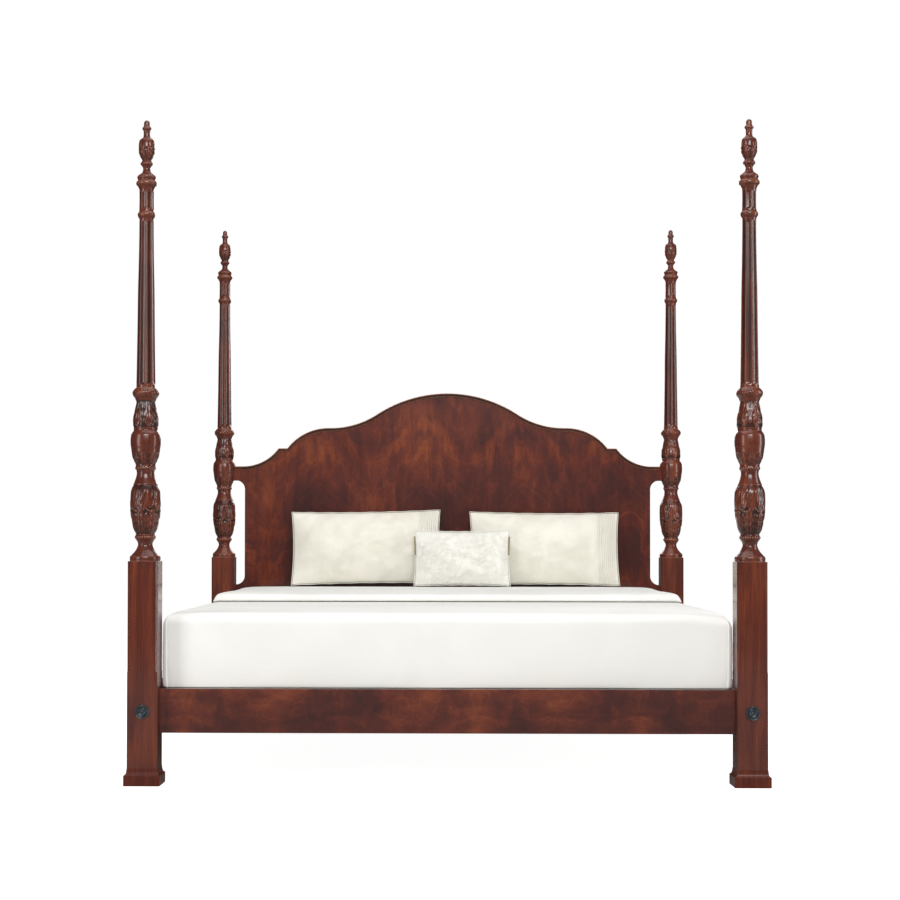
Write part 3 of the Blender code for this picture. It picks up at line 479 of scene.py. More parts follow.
# Carving on the turned lengths; heights run up from the foot of each turning
def leaf_ring(angle, z, count, turn, root, tip, width=0.94, teeth=4, twist=0.0):
    """Height from 0 to 1 of leaves that lie round a turning from root to tip, each with a mid-rib."""
    t = (z - root) / (tip - root)
    inside = (t > 0) & (t < 1)
    t = np.clip(t, 0, 1)
    across = (angle * count / TAU + turn + twist * t + 0.5) % 1 - 0.5
    outline = 0.5 * width * np.sqrt(1 - t**2.4) * (1 - 0.16 * (1 + np.cos(TAU * teeth * t)))
    s = np.abs(across) / np.maximum(outline, 1e-4)
    blade = np.sqrt(np.clip(1 - s**4, 0, 1)) * (0.62 + 0.38 * smoothstep(0.0, 0.75, t))
    veins = 0.5 + 0.5 * np.cos(TAU * (teeth * t - 0.8 * s))
    rib = np.exp(-((across / (0.055 * width)) ** 2))
    carved = blade * (0.68 + 0.32 * (1 - veins * smoothstep(1.0, 0.6, s)) * (1 - rib))
    carved -= 0.34 * rib * blade * (1 - t)
    return np.where(inside, np.clip(carved, 0.22, 1), 0.22)


def strand(angle, z, count, turn, middle, sag, thick):
    """Height from 0 to 1 of cords that hang in curves between evenly spaced points."""
    across = (angle * count / TAU + turn) % 1 - 0.5
    line = middle - sag * (0.5 - 4 * across**2)
    beads = 0.75 + 0.25 * np.cos(TAU * across * 9)
    return beads * np.exp(-(((z - line) / thick) ** 2))


def lobes(angle, z, count, turn, low, high, share=0.35):
    """Height from 0 to 1 of rounded upright lobes between two heights."""
    across = np.abs((angle * count / TAU + turn) % 1 - 0.5) * 2
    span = smoothstep(low, low + 0.1 * (high - low), z) * smoothstep(high, high - 0.1 * (high - low), z)
    return 1 - share * across**3 * span


def pearls(angle, count):
    return 0.35 + 0.65 * np.abs(np.cos(angle * count / 2))


def tallest(*shapes):
    return np.maximum.reduce(shapes)


def block_relief(angle, z):
    """How deep the leaves, swags and rings of the lower turning are cut."""
    z = z / MM
    vase = tallest(
        leaf_ring(angle, z, 7, 0.0, 88, 178, 0.96),
        0.72 * leaf_ring(angle, z, 7, 0.5, 88, 164, 0.98),
        leaf_ring(angle, z, 6, 0.2, 268, 170, 0.96, 2, 0.35),
        0.74 * leaf_ring(angle, z, 6, 0.7, 262, 180, 0.98, 2, 0.35),
        0.90 * strand(angle, z, 6, 0.45, 180, 20, 4.5),
    )
    urn = tallest(
        leaf_ring(angle, z, 8, 0.0, 326, 374, 0.96, 3), 0.75 * strand(angle, z, 8, 0.5, 374, 8, 3.0)
    )
    urn = np.maximum(urn, smoothstep(360, 376, z))
    bell = tallest(
        leaf_ring(angle, z, 6, 0.1, 556, 455, 0.97, 3), 0.72 * leaf_ring(angle, z, 6, 0.6, 552, 470, 0.98, 3)
    )
    collar = 0.55 + 0.45 * np.abs(np.cos(angle * 10 + (z - 571) * 0.16)) ** 0.7
    height = np.ones_like(angle + z)
    for low, high, carved, cut_share in (
        (91, 262, vase, 1.0), (329, 412, urn, 0.7), (456, 550, bell, 1.0), (559, 590, collar, 0.6),
        (76, 88, pearls(angle, 26), 0.5), (312, 323, pearls(angle, 26), 0.45),
    ):
        zone = smoothstep(low - 1, low + 3, z) * smoothstep(high + 1, high - 3, z)
        height = height - zone * cut_share * (1 - carved)
    return LEAF_RELIEF * (1 - height)


def shaft_relief(angle, z):
    """Flutes with narrow flats between them, stopped short of the collar, the ring and the cap."""
    across = np.abs((angle * FLUTES / TAU + 0.80) % 1 - 0.5) * 2
    hollow = np.clip(1 - (across / 0.86) ** 2, 0, 1) ** 0.8
    z = z / MM
    span = smoothstep(8, 18, z) * smoothstep(569, 560, z) + smoothstep(602, 609, z) * smoothstep(668, 660, z)
    taper = 1 - 0.25 * smoothstep(0, 570, z)
    return FLUTE_DEPTH * hollow * span * taper


def finial_relief(angle, z):
    z = z / MM
    cup = tallest(
        leaf_ring(angle, z, 6, 0.0, 67, 113, 0.95, 3), 0.6 * leaf_ring(angle, z, 6, 0.5, 67, 104, 0.9, 3)
    )
    upper = lobes(angle, z, 6, 0.0, 104, 146, 0.75)
    height = np.where(z < 113, np.maximum(cup, smoothstep(100, 113, z) * upper), upper)
    zone = smoothstep(66, 69, z) * smoothstep(147, 143, z)
    foot = 0.25 * (1 - np.abs(np.cos(angle * 8))) * smoothstep(11, 15, z) * smoothstep(30, 24, z)
    return 0.62 * LEAF_RELIEF * (zone * (1 - height) + foot)


# Posts
BOLTS = [("side_rail", corner, (0, end, 0)) for corner, (side, end) in CORNERS.items()]
BOLTS += [("foot_rail", corner, (side, 0, 0)) for corner, (side, end) in CORNERS.items() if end < 0]
EASED = 1.2 * MM
CHAMFER = 7 * MM
CHAMFER_ABOVE_RAIL = 0.057
COUNTERBORE_RADIUS = 10 * MM
COUNTERBORE_DEPTH = 12 * MM
PIN_RADIUS = 1.7 * MM
PLINTH_FACE = 0.036
PLINTH_LEDGE = 2.2 * MM
COVE_GAP = 3.2 * MM
COVE_STEPS = 10
DOWEL_RADIUS = 8 * MM
DOWEL_LENGTH = 35 * MM
EAR_TOP = 1.164
SLOT_BOTTOM = 0.6263
COVER_RUNS = (
    ((3.6, 0.5), (3.6, 6), (3.0, 10), (1.3, 13.5), (1.3, 22)),
    ((0.4, 22.3), (0.4, 23.6)),
    ((0.8, 24), (2.6, 24), (3.6, 23.6), (3.9, 23.1), (3.5, 22.7)),
    ((3.2, 22.3), (3.1, 16.6)),
    ((3.6, 16.2), (4.3, 15.5), (4.0, 14.9), (3.5, 14.5)),
    ((4.2, 14.2), (6.0, 13.3), (6.8, 12.4), (6.9, 11.6), (6.5, 10.9), (5.9, 10.3)),
    ((5.5, 9.6), (5.1, 6.5), (5.2, 4.6)),
    ((5.7, 4.2), (6.3, 2.8), (6.5, 0.3)),
)
PIN_RUNS = (((-16, 1.0), (-14.6, 1.6), (3.6, 1.6)), ((3.65, 3.0), (4.2, 2.9), (4.7, 2.2), (5.0, 0.4)))


def square_ring(half, chamfer, z):
    """Eight points of a square with cut corners."""
    inner = half - chamfer
    quarter = [Vector((half, -inner, z)), Vector((half, inner, z))]
    turns = [Matrix.Rotation(k * math.pi / 2, 3, "Z") for k in range(4)]
    return [turn @ point for turn in turns for point in quarter]


def square_loft(name, rings, place, finish):
    points = np.array([list(point + place) for ring in rings for point in ring])
    return add_object(name, mesh_from(name, points, capped(len(rings), 8)), finish, math.radians(20))


def rod(name, radius, length, frame_at, finish):
    """Plain round cutter from -length to +length along its frame's +Z."""
    turns = np.arange(32) * TAU / 32
    ring = np.stack([radius * np.cos(turns), radius * np.sin(turns)], axis=1)
    points = np.concatenate([np.c_[ring, np.full(32, z)] for z in (-length, length)])
    obj = add_object(name, mesh_from(name, points, capped(2, 32)), finish)
    obj.matrix_world = frame_at
    return obj


def on_face(node, corner, out):
    """Place on the post's outer face at the height of a node's middle, facing outwards."""
    post = centre_of("plinth_" + corner)
    return facing(out, Vector((post.x, post.y, centre_of(node).z)) + HALF_POST * Vector(out))


def plinth(corner, finish):
    low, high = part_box("plinth_" + corner)
    half, height = (high.x - low.x) / 2, high.z - low.z
    rings = [square_ring(half - EASED, EASED, 0), square_ring(half, EASED, EASED)]
    rings += [square_ring(half, EASED, PLINTH_FACE - EASED), square_ring(half - EASED, EASED, PLINTH_FACE)]
    cove = half - HALF_POST - COVE_GAP
    for i in range(COVE_STEPS + 1):
        turn = i / COVE_STEPS * math.pi / 2
        rise = (height - PLINTH_FACE) * (1 - math.cos(turn))
        rings.append(square_ring(half - PLINTH_LEDGE - cove * math.sin(turn), EASED, PLINTH_FACE + rise))
    place = Vector(((low.x + high.x) / 2, (low.y + high.y) / 2, 0))
    piece = square_loft("plinth_block_" + corner, rings, place, finish)
    return settled(piece, "bedstead", "mahogany", "plinth_" + corner)


def lower_post(corner, plain, carved):
    """Square block with its chamfers and counterbores, and the carved turning that stands on it."""
    node = "lower_post_" + corner
    low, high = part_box(node)
    place = centre_of("plinth_" + corner) * Vector((1, 1, 0))
    top = high.z - TURNED_LENGTH
    stop = RAIL_TOP + CHAMFER_ABOVE_RAIL
    rings = [
        square_ring(HALF_POST, EASED, low.z), square_ring(HALF_POST, EASED, stop),
        square_ring(HALF_POST, 0.7 * CHAMFER, stop + 1.5 * MM), square_ring(HALF_POST, CHAMFER, stop + 0.010),
        square_ring(HALF_POST, CHAMFER, top - EASED), square_ring(HALF_POST - EASED, CHAMFER, top),
    ]
    block = square_loft("block_" + corner, rings, place, plain)
    cutters = []
    for rail, _, out in (bolt for bolt in BOLTS if bolt[1] == corner):
        for part, radius in (("bed_bolt", COUNTERBORE_RADIUS), ("cover_pin", PIN_RADIUS)):
            spot = on_face(f"{part}_{rail}_{corner}", corner, out)
            cutters.append(rod("bore", radius, COUNTERBORE_DEPTH, spot, plain))
    cut(block, cutters).data.set_sharp_from_angle(angle=math.radians(20))
    place.z = top
    stretch = TURNED_LENGTH / (BLOCK_RUNS[-1][-1][0] * MM)
    turning = turned(
        "turning_" + corner, BLOCK_RUNS, TURNED_SIDES, 2.0 * MM, place, carved, block_relief, stretch
    )
    post = joined([block, turning], "carved_lower_post_" + corner)
    return settled(post, "bedstead", "carved_mahogany", node)


def upper_post(corner, carved):
    """Fluted shaft with its collar and cap, bored for the finial's dowel."""
    place = centre_of("plinth_" + corner) * Vector((1, 1, 0))
    place.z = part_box("lower_post_" + corner)[1].z + 0.3 * MM
    shaft = turned("fluted_shaft_" + corner, SHAFT_RUNS, TURNED_SIDES, 3.0 * MM, place, carved, shaft_relief)
    top = place + Vector((0, 0, SHAFT_RUNS[-1][-1][0] * MM))
    bore = rod("bore", DOWEL_RADIUS + 0.2 * MM, DOWEL_LENGTH + 2 * MM, Matrix.Translation(top), carved)
    cut(shaft, [bore])
    return settled(shaft, "bedstead", "carved_mahogany", "upper_post_" + corner)


def finial(corner, carved):
    """Carved urn on a dowel that drops into the post."""
    node = "finial_" + corner
    low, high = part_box(node)
    place = Vector(((low.x + high.x) / 2, (low.y + high.y) / 2, high.z - FINIAL_RUNS[-1][-1][0] * MM))
    dowel = (((-34.7, 6.5), (-33.4, 8)), ((-33.2, 8), (0, 8), (0.02, 8), (0.02, 27)))
    urn = turned("urn_" + corner, dowel + FINIAL_RUNS, FINIAL_SIDES, 1.3 * MM, place, carved, finial_relief)
    return settled(urn, node, "carved_mahogany", node)


def bolt_covers(finish):
    """Dished covers that hang over the bolts, and the round-headed pins they swing on."""
    for rail, corner, out in BOLTS:
        name = f"{rail}_{corner}"
        hinge = on_face("cover_pin_" + name, corner, out)
        cover = turned("dished_cover_" + name, COVER_RUNS, 72, 0.7 * MM, (0, 0, 0), finish)
        cover.data.transform(on_face("bolt_cover_" + name, corner, out))
        cut(cover, [rod("pin_hole", PIN_RADIUS, COUNTERBORE_DEPTH, hinge, finish)])
        settled(cover, "cover_" + name, "bronze", "bolt_cover_" + name)
        pin = turned("round_headed_pin_" + name, PIN_RUNS, 24, 0.8 * MM, (0, 0, 0), finish)
        pin.data.transform(hinge)
        settled(pin, "bedstead", "bronze", "cover_pin_" + name)


# Headboard and rails
INNER_X = 0.967
SLOT_WIDTH = 0.045
SLOT_CORNER = 0.040
EAR_FLAT_WIDTH = 0.037
EAR_HEIGHT = 0.064
EAR_HOLLOW = (0.162, 0.082)
NOTCH_WIDTH = 0.040
LOBE = (0.188, 0.093)
SHOULDER_WIDTH = 0.010
ARCH_RISE = 0.1575
ARCH_INFLECTION = 0.6
ARC_STEPS = 26
MOULDING_SECTION = (
    (0.0, 0.0), (0.0, 6.2), (0.6, 8.0), (2.0, 9.0), (3.6, 8.6), (4.6, 7.2), (5.0, 5.8), (5.6, 5.4),
    (6.4, 5.4), (7.0, 4.4), (8.4, 2.9), (10.2, 2.1), (12.0, 1.9), (12.6, 2.6), (13.8, 3.0), (14.8, 2.2),
    (15.0, 0.0),
)


def arc(centre, radius, start, end):
    """Points on a circle; angles run clockwise from straight up."""
    turns = [start + (end - start) * i / ARC_STEPS for i in range(ARC_STEPS + 1)]
    return [(centre[0] + radius * math.sin(a), centre[1] + radius * math.cos(a)) for a in turns]


def radius_of_arc(width, rise):
    return (width**2 + rise**2) / (2 * rise)


def crest(end_x, ear_top):
    """Right half of the headboard's top edge, from its centre out to end_x."""
    shoulder = ear_top + EAR_HOLLOW[1] + LOBE[1]
    hollow_end = INNER_X - EAR_FLAT_WIDTH
    lobe_end = hollow_end - EAR_HOLLOW[0] - NOTCH_WIDTH
    lobe_start = lobe_end - LOBE[0]
    arch_end = lobe_start - SHOULDER_WIDTH
    lean = 2 * math.atan2(ARCH_RISE, arch_end)
    convex = ARCH_INFLECTION * arch_end / math.sin(lean)
    concave = arch_end / math.sin(lean) - convex
    lobe, hollow = radius_of_arc(*LOBE), radius_of_arc(*EAR_HOLLOW)
    hollow_lean = math.asin(EAR_HOLLOW[0] / hollow)
    path = arc((0, shoulder + ARCH_RISE - convex), convex, 0, lean)
    path += arc((arch_end, shoulder + concave), concave, math.pi + lean, math.pi)[1:]
    path += arc((lobe_start, shoulder - lobe), lobe, 0, math.asin(LOBE[0] / lobe))
    path += arc((hollow_end, ear_top + hollow), hollow, math.pi + hollow_lean, math.pi)
    return path + [(end_x, ear_top)]


def slot_side(end_x, ear_bottom, slot_bottom, foot):
    """Right edge of the board from the ear down round the slot to its foot."""
    edge, quarter = INNER_X - SLOT_WIDTH + SLOT_CORNER, math.pi / 2
    upper = arc((edge, ear_bottom - SLOT_CORNER), SLOT_CORNER, 0, -quarter)
    lower = arc((edge, slot_bottom + SLOT_CORNER), SLOT_CORNER, -quarter, -2 * quarter)
    return [(end_x, ear_bottom), *upper, *lower, (end_x, slot_bottom), (end_x, foot)]


def inset_path(path, distance):
    """The path moved down square to itself, with mitred corners."""
    steps = [(Vector(b) - Vector(a)).normalized() for a, b in zip(path, path[1:])]
    normals = [Vector((step.y, -step.x)) for step in steps]
    inner = []
    for point, before, after in zip(path, normals[:1] + normals, normals + normals[-1:]):
        middle = (before + after).normalized()
        inner.append(Vector(point) + middle * distance / middle.dot(before))
    return inner


def headboard_panel(veneer):
    """Arched board with an open slot beside each post."""
    low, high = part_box("headboard_panel")
    right = crest(high.x, EAR_TOP) + slot_side(high.x, EAR_TOP - EAR_HEIGHT, SLOT_BOTTOM, low.z)
    outline = right + [(-x, z) for x, z in reversed(right) if x > 0]
    columns = len(outline)
    points = np.array([(x, y, z) for y in (high.y, low.y) for x, z in outline])
    panel = add_object("arched_panel", mesh_from("arched_panel", points, capped(2, columns)), veneer)
    bevelled(panel, 0.8 * MM, 2)
    return settled(applied(panel), "bedstead", "flame_mahogany", "headboard_panel")


def crest_moulding(wood):
    """Beaded and hollowed moulding that follows the board's top edge."""
    low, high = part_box("headboard_crest_moulding")
    half = crest(high.x, EAR_TOP)
    path = [(-x, z) for x, z in reversed(half) if x > 0] + half
    lines = [inset_path(path, inward * MM) for inward, _ in MOULDING_SECTION]
    depths = [high.y - out * MM for _, out in MOULDING_SECTION]
    points = np.array([(line[i].x, y, line[i].y) for i in range(len(path)) for line, y in zip(lines, depths)])
    inward = np.array(MOULDING_SECTION)[:, 0]
    # Glazing and painted shade: the moulding is painted darker everywhere below its top bead, through the
    # depth attribute that the carved finish darkens by.
    moulding_glaze_and_shade = np.tile(0.5 * smoothstep(1.0, 3.5, inward) + 0.2 * smoothstep(4.0, 6.0, inward), len(path))
    mesh = mesh_from("crest_moulding", points, capped(len(path), len(inward)), [("depth", moulding_glaze_and_shade)])
    moulding = add_object("crest_moulding", mesh, wood, math.radians(50))
    return settled(moulding, "bedstead", "mahogany", "headboard_crest_moulding")


def finished(finish, nodes, edge=0.0):
    """Give the frame's own pieces their finish, and ease their edges."""
    for name in nodes:
        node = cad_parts[name]
        node.data.materials.clear()
        node.data.materials.append(finish)
        if edge:
            bevelled(node, edge, 2)


# Bedding
CORNER_STEPS = 30
CLOTH_STEP = 0.020
SEAM_CORD = 2.4 * MM
MATTRESS_INSET = 8.0 * MM
FOUNDATION_INSET = 0.6 * MM
SIDE_BULGE = 0.5 * MM
COVERLET_ROLL = 0.036
COVERLET_CORNER = 0.020
COVERLET_OVERHANG = 6.0 * MM
COVERLET_CLOTH = 2.0 * MM
COVERLET_TUCK = 0.045
COVERLET_HEM = 0.005
CORNER_SINKS = (0.004, 0.014)
CORNER_SINK_REACH = 0.085
PLEAT_FOLD = 3.4 * MM
PLEAT_GROOVE = 4.2 * MM
DUVET_EDGE = 0.040
DUVET_UNDERSIDE = 0.006
DUVET_EDGE_ROLL = 0.022
DUVET_DROP = 0.026
DUVET_STEP = 0.014
PILLOW_STEP = 9.5 * MM
PILLOW_LEAN = math.radians(16)
PILLOW_CLEARANCE = 1.0 * MM
PILLOW_DRAW_IN = (0.026, 0.036)
SHAM_SIZE = (0.671, 0.145, 0.342)
SHAM_TILTS = {"left": -1.0, "right": 0.3}
LUMBAR_SIZE = (0.425, 0.110, 0.255)


def rounded_loop(half_x, half_y, corner, counts):
    """Points anticlockwise round a rectangle with round corners; counts are those of its straight sides."""
    bends = []
    for k, (side, end) in enumerate(((1, 1), (-1, 1), (-1, -1), (1, -1))):
        centre = Vector((side * (half_x - corner), end * (half_y - corner)))
        turns = [(k + i / CORNER_STEPS) * math.pi / 2 for i in range(CORNER_STEPS + 1)]
        bends.append([centre + corner * Vector((math.cos(turn), math.sin(turn))) for turn in turns])
    points = []
    for k, bend in enumerate(bends):
        steps, following = counts[k % 2], bends[(k + 1) % 4][0]
        points += bend + [bend[-1].lerp(following, i / steps) for i in range(1, steps)]
    return np.array(points)


def plan_of(low, high):
    """Middle and half size of a box, seen from above."""
    return [(a + b) / 2 for a, b in zip(low.xy, high.xy)], [(b - a) / 2 for a, b in zip(low.xy, high.xy)]


def soft_box_rings(low, high, corner, section):
    """Rings of a soft box; the section lists how far inside its sides each ring runs, and how high."""
    middle, (half_x, half_y) = plan_of(low, high)
    counts = [max(2, round(2 * (half - corner) / CLOTH_STEP)) for half in (half_x, half_y)]
    rings = []
    for inset, z in section:
        round_corner = max(corner - inset, 1.0 * MM)
        ring = rounded_loop(half_x - inset, half_y - inset, round_corner, counts)
        rings.append(np.c_[ring + middle, np.full(len(ring), z)])
    return np.array(rings)


def quarter_turn(inset, z, radius, start, steps=8):
    """Stations of a rolled edge about a centre inset and z, from a quarter turn given by its number."""
    turns = [(start + i / steps) * math.pi / 2 for i in range(steps + 1)]
    return [(inset - radius * math.cos(turn), z + radius * math.sin(turn)) for turn in turns]


def side_stations(low, high, bulge, steps=14):
    """Stations up a side that swells out between two heights."""
    shares = [i / steps for i in range(1, steps)]
    return [(-bulge * math.sin(math.pi * share), low + (high - low) * share) for share in shares]


def flat_stations(start, end, z):
    """Stations across a top or bottom, from one inset to another."""
    steps = math.ceil(abs(end - start) / CLOTH_STEP)
    return [(start + (end - start) * i / steps, z) for i in range(1, steps + 1)]


def tube(name, points, radius, finish, cyclic=True):
    """Round cord that follows these points."""
    curve = bpy.data.curves.new(name, "CURVE")
    curve.dimensions, curve.bevel_depth, curve.bevel_resolution = "3D", radius, 3
    curve.use_fill_caps = not cyclic
    spline = curve.splines.new("POLY")
    spline.points.add(len(points) - 1)
    spline.points.foreach_set("co", np.c_[np.array(points), np.ones(len(points))].ravel())
    spline.use_cyclic_u = cyclic
    made = bpy.data.objects.new(name, curve)
    bpy.context.scene.collection.objects.link(made)
    mesh = bpy.data.meshes.new_from_object(made.evaluated_get(bpy.context.evaluated_depsgraph_get()))
    bpy.data.objects.remove(made, do_unlink=True)
    return add_object(name, mesh, finish)


def soft_box(name, node, corner, roll, inset, finish):
    """Upholstered box with rolled edges and a corded seam round its top and bottom."""
    low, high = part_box(node)
    low, high = low + Vector((inset, inset, inset)), high - Vector((inset, inset, inset))
    reach = min(high.x - low.x, high.y - low.y) / 2 - 2 * MM
    section = flat_stations(reach, roll, low.z)
    section += quarter_turn(roll, low.z + roll, roll, -1)
    section += side_stations(low.z + roll, high.z - roll, SIDE_BULGE)
    section += quarter_turn(roll, high.z - roll, roll, 0)
    section += flat_stations(roll, reach, high.z)
    rings = soft_box_rings(low, high, corner, section)
    heights = (low.z + 0.3 * roll, high.z - 0.3 * roll)
    seams = [soft_box_rings(low, high, corner, [(0.3 * roll, z)]) for z in heights]
    if node == "mattress":
        rings, seams = sunk_corners(rings, low, high), [sunk_corners(seam, low, high) for seam in seams]
    box = add_object(name, mesh_from(name, rings.reshape(-1, 3), capped(*rings.shape[:2])), finish)
    cords = [tube("seam", seam[0], SEAM_CORD, finish) for seam in seams]
    piece = joined([box, *cords], name)
    return piece


def foundations(finish):
    for side in ("left", "right"):
        node = "foundation_" + side
        piece = soft_box("upholstered_" + node, node, 0.030, 0.010, FOUNDATION_INSET, finish)
        settled(piece, "bedstead", "foundation_ticking", node)


def mattress(finish):
    piece = soft_box("spring_mattress", "mattress", 0.026, 0.030, MATTRESS_INSET, finish)
    return settled(piece, "bedstead", "white_percale", "mattress")


def corner_pleats(rings, low, high):
    """Fold a pleat into each upright corner of the sheet, and let its sides hang a little unevenly."""
    x, y, z = np.moveaxis(rings, -1, 0)
    middle, half = plan_of(low, high)
    over_x = np.maximum(np.abs(x - middle[0]) - (half[0] - COVERLET_CORNER), 0)
    over_y = np.maximum(np.abs(y - middle[1]) - (half[1] - COVERLET_CORNER), 0)
    turn = np.degrees(np.arctan2(over_x, over_y))
    upright = smoothstep(high.z - 0.004, high.z - 0.040, z) * smoothstep(low.z - 0.002, low.z + 0.010, z)
    slant = 7 * (high.z - z) / (high.z - low.z)
    band = smoothstep(16 - slant, 20 - slant, turn) * smoothstep(66, 60, turn)
    groove = np.exp(-(((turn - 14 + slant) / 3.2) ** 2)) + 0.7 * np.exp(-(((turn - 68) / 3.5) ** 2))
    at_corner = (over_x > 0) & (over_y > 0)
    push = np.where(at_corner, PLEAT_FOLD * band - PLEAT_GROOVE * groove, 0)
    drape = 1.1 * np.sin(7.3 * (x + y)) + 0.8 * np.sin(17.1 * (x - y) + 1.3 * np.sin(9 * z))
    push = upright * (push + drape * MM)
    out = np.stack([np.sign(x - middle[0]) * (over_x > 0), np.sign(y - middle[1]) * (over_y > 0)], axis=-1)
    length = np.maximum(np.hypot(over_x, over_y), 1e-6)
    direction = np.stack([out[..., 0] * over_x, out[..., 1] * over_y], axis=-1) / length[..., None]
    rings[..., :2] += push[..., None] * direction
    return rings


def sunk_corners(rings, low, high):
    """Let the top give way towards its four corners."""
    x, y, z = np.moveaxis(rings, -1, 0)
    inward = [half - np.abs(at - middle) for at, middle, half in zip((x, y), *plan_of(low, high))]
    near = np.exp(-((np.hypot(*inward) / CORNER_SINK_REACH) ** 2))
    left, right = CORNER_SINKS
    rings[..., 2] -= np.where(x < 0, left, right) * near * smoothstep(low.z + 0.05, high.z, z)
    return rings


def coverlet(finish):
    """Sheet spread over the mattress, rolled over its edges and tucked under it."""
    low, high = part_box("mattress")
    low.x, high.x = low.x - COVERLET_OVERHANG, high.x + COVERLET_OVERHANG
    roll, hem = COVERLET_ROLL, COVERLET_HEM
    reach = (high.x - low.x) / 2 - 2 * MM
    section = [(COVERLET_TUCK - COVERLET_TUCK * i / 6, low.z + 1.2 * MM) for i in range(5)]
    section += quarter_turn(hem, low.z + hem + 1.0 * MM, hem, -1, 4)
    section += side_stations(low.z + hem + 1.0 * MM, high.z - roll, 1.5 * MM, 16)
    section += quarter_turn(roll, high.z - roll, roll, 0, 12)
    section += flat_stations(roll, reach, high.z)
    rings = soft_box_rings(low, high, COVERLET_CORNER, section)
    rings = sunk_corners(corner_pleats(rings, low, high), low, high)
    rows, columns = rings.shape[:2]
    faces = grid_faces(rows, columns, True) + [[(rows - 1) * columns + i for i in range(columns)]]
    sheet = add_object("coverlet", mesh_from("coverlet", rings.reshape(-1, 3), faces), finish, math.pi)
    thick = sheet.modifiers.new("cloth", "SOLIDIFY")
    thick.thickness, thick.offset = COVERLET_CLOTH, -1
    settled(applied(sheet), "bedstead", "white_percale")
    return sheet


def pad_mesh(name, width, height, step, half_thickness):
    """Closed cloth of two layers that meet at a rim; returns it with the rim's points in order."""
    columns, rows = round(width / step), round(height / step)
    u, v = np.meshgrid(np.linspace(-1, 1, columns + 1), np.linspace(-1, 1, rows + 1))
    half = half_thickness(u, v)
    inner = (np.abs(u) < 1) & (np.abs(v) < 1)
    front = np.arange(u.size).reshape(u.shape)
    back = front.copy()
    back[inner] = u.size + np.arange(inner.sum())
    layers = [np.stack([u * width / 2, side * half, v * height / 2], axis=-1) for side in (-1, 1)]
    points = np.concatenate([layers[0].reshape(-1, 3), layers[1][inner]])
    points[front[~inner], 1] = 0
    faces = []
    for grid, flipped in ((front, False), (back, True)):
        quads = np.stack([grid[:-1, :-1], grid[:-1, 1:], grid[1:, 1:], grid[1:, :-1]], axis=-1).reshape(-1, 4)
        faces += (quads[:, ::-1] if flipped else quads).tolist()
    rim = [*front[0, :-1], *front[:-1, -1], *front[-1, :0:-1], *front[:0:-1, 0]]
    across = np.concatenate([u.ravel(), u[inner]])
    return mesh_from(name, points, faces, [("across", across)]), rim


def inflated(obj, pressure, cap, stiffness, pinned=(), frames=20):
    """Blow a closed cloth up by simulation; no point moves further than the cap."""
    scene, rest = bpy.context.scene, coordinates(obj)
    modifier = obj.modifiers.new("cloth", "CLOTH")
    settings = modifier.settings
    if len(pinned):
        obj.vertex_groups.new(name="seam").add([int(i) for i in pinned], 1.0, "REPLACE")
        settings.vertex_group_mass = "seam"
    settings.quality, settings.mass = 5, 0.15
    settings.tension_stiffness = settings.compression_stiffness = settings.shear_stiffness = stiffness
    settings.bending_stiffness = 0.02
    settings.use_pressure, settings.uniform_pressure_force = True, pressure
    settings.effector_weights.gravity = 0
    modifier.point_cache.frame_end = frames
    for step in range(1, frames + 1):
        scene.frame_set(step)
    move = coordinates(obj.evaluated_get(bpy.context.evaluated_depsgraph_get())) - rest
    obj.modifiers.remove(modifier)
    scene.frame_set(1)
    length = np.linalg.norm(move, axis=1, keepdims=True)
    return moved_to(obj, rest + move * np.minimum(1, cap / np.maximum(length, 1e-9)))


def fitted(obj, size):
    """Scale the mesh about the origin so that it has exactly this size."""
    points = coordinates(obj)
    low, high = points.min(0), points.max(0)
    return moved_to(obj, (points - (low + high) / 2) * np.array(size) / (high - low))


def subdivided(obj, levels=1):
    modifier = obj.modifiers.new("subdivision", "SUBSURF")
    modifier.levels = modifier.render_levels = levels
    return applied(obj)


def side_trims(seam, size, radius, finish):
    """Thick cord along the upper part of a pillow's left and right seams."""
    trims = []
    for side in (-1, 1):
        upper = [tuple(p) for p in seam if side * p[0] > 0.46 * size[0] and 0.05 < p[2] / size[2] < 0.40]
        trims.append(tube("trim", sorted(upper, key=lambda p: p[2]), radius, finish, False))
    return trims


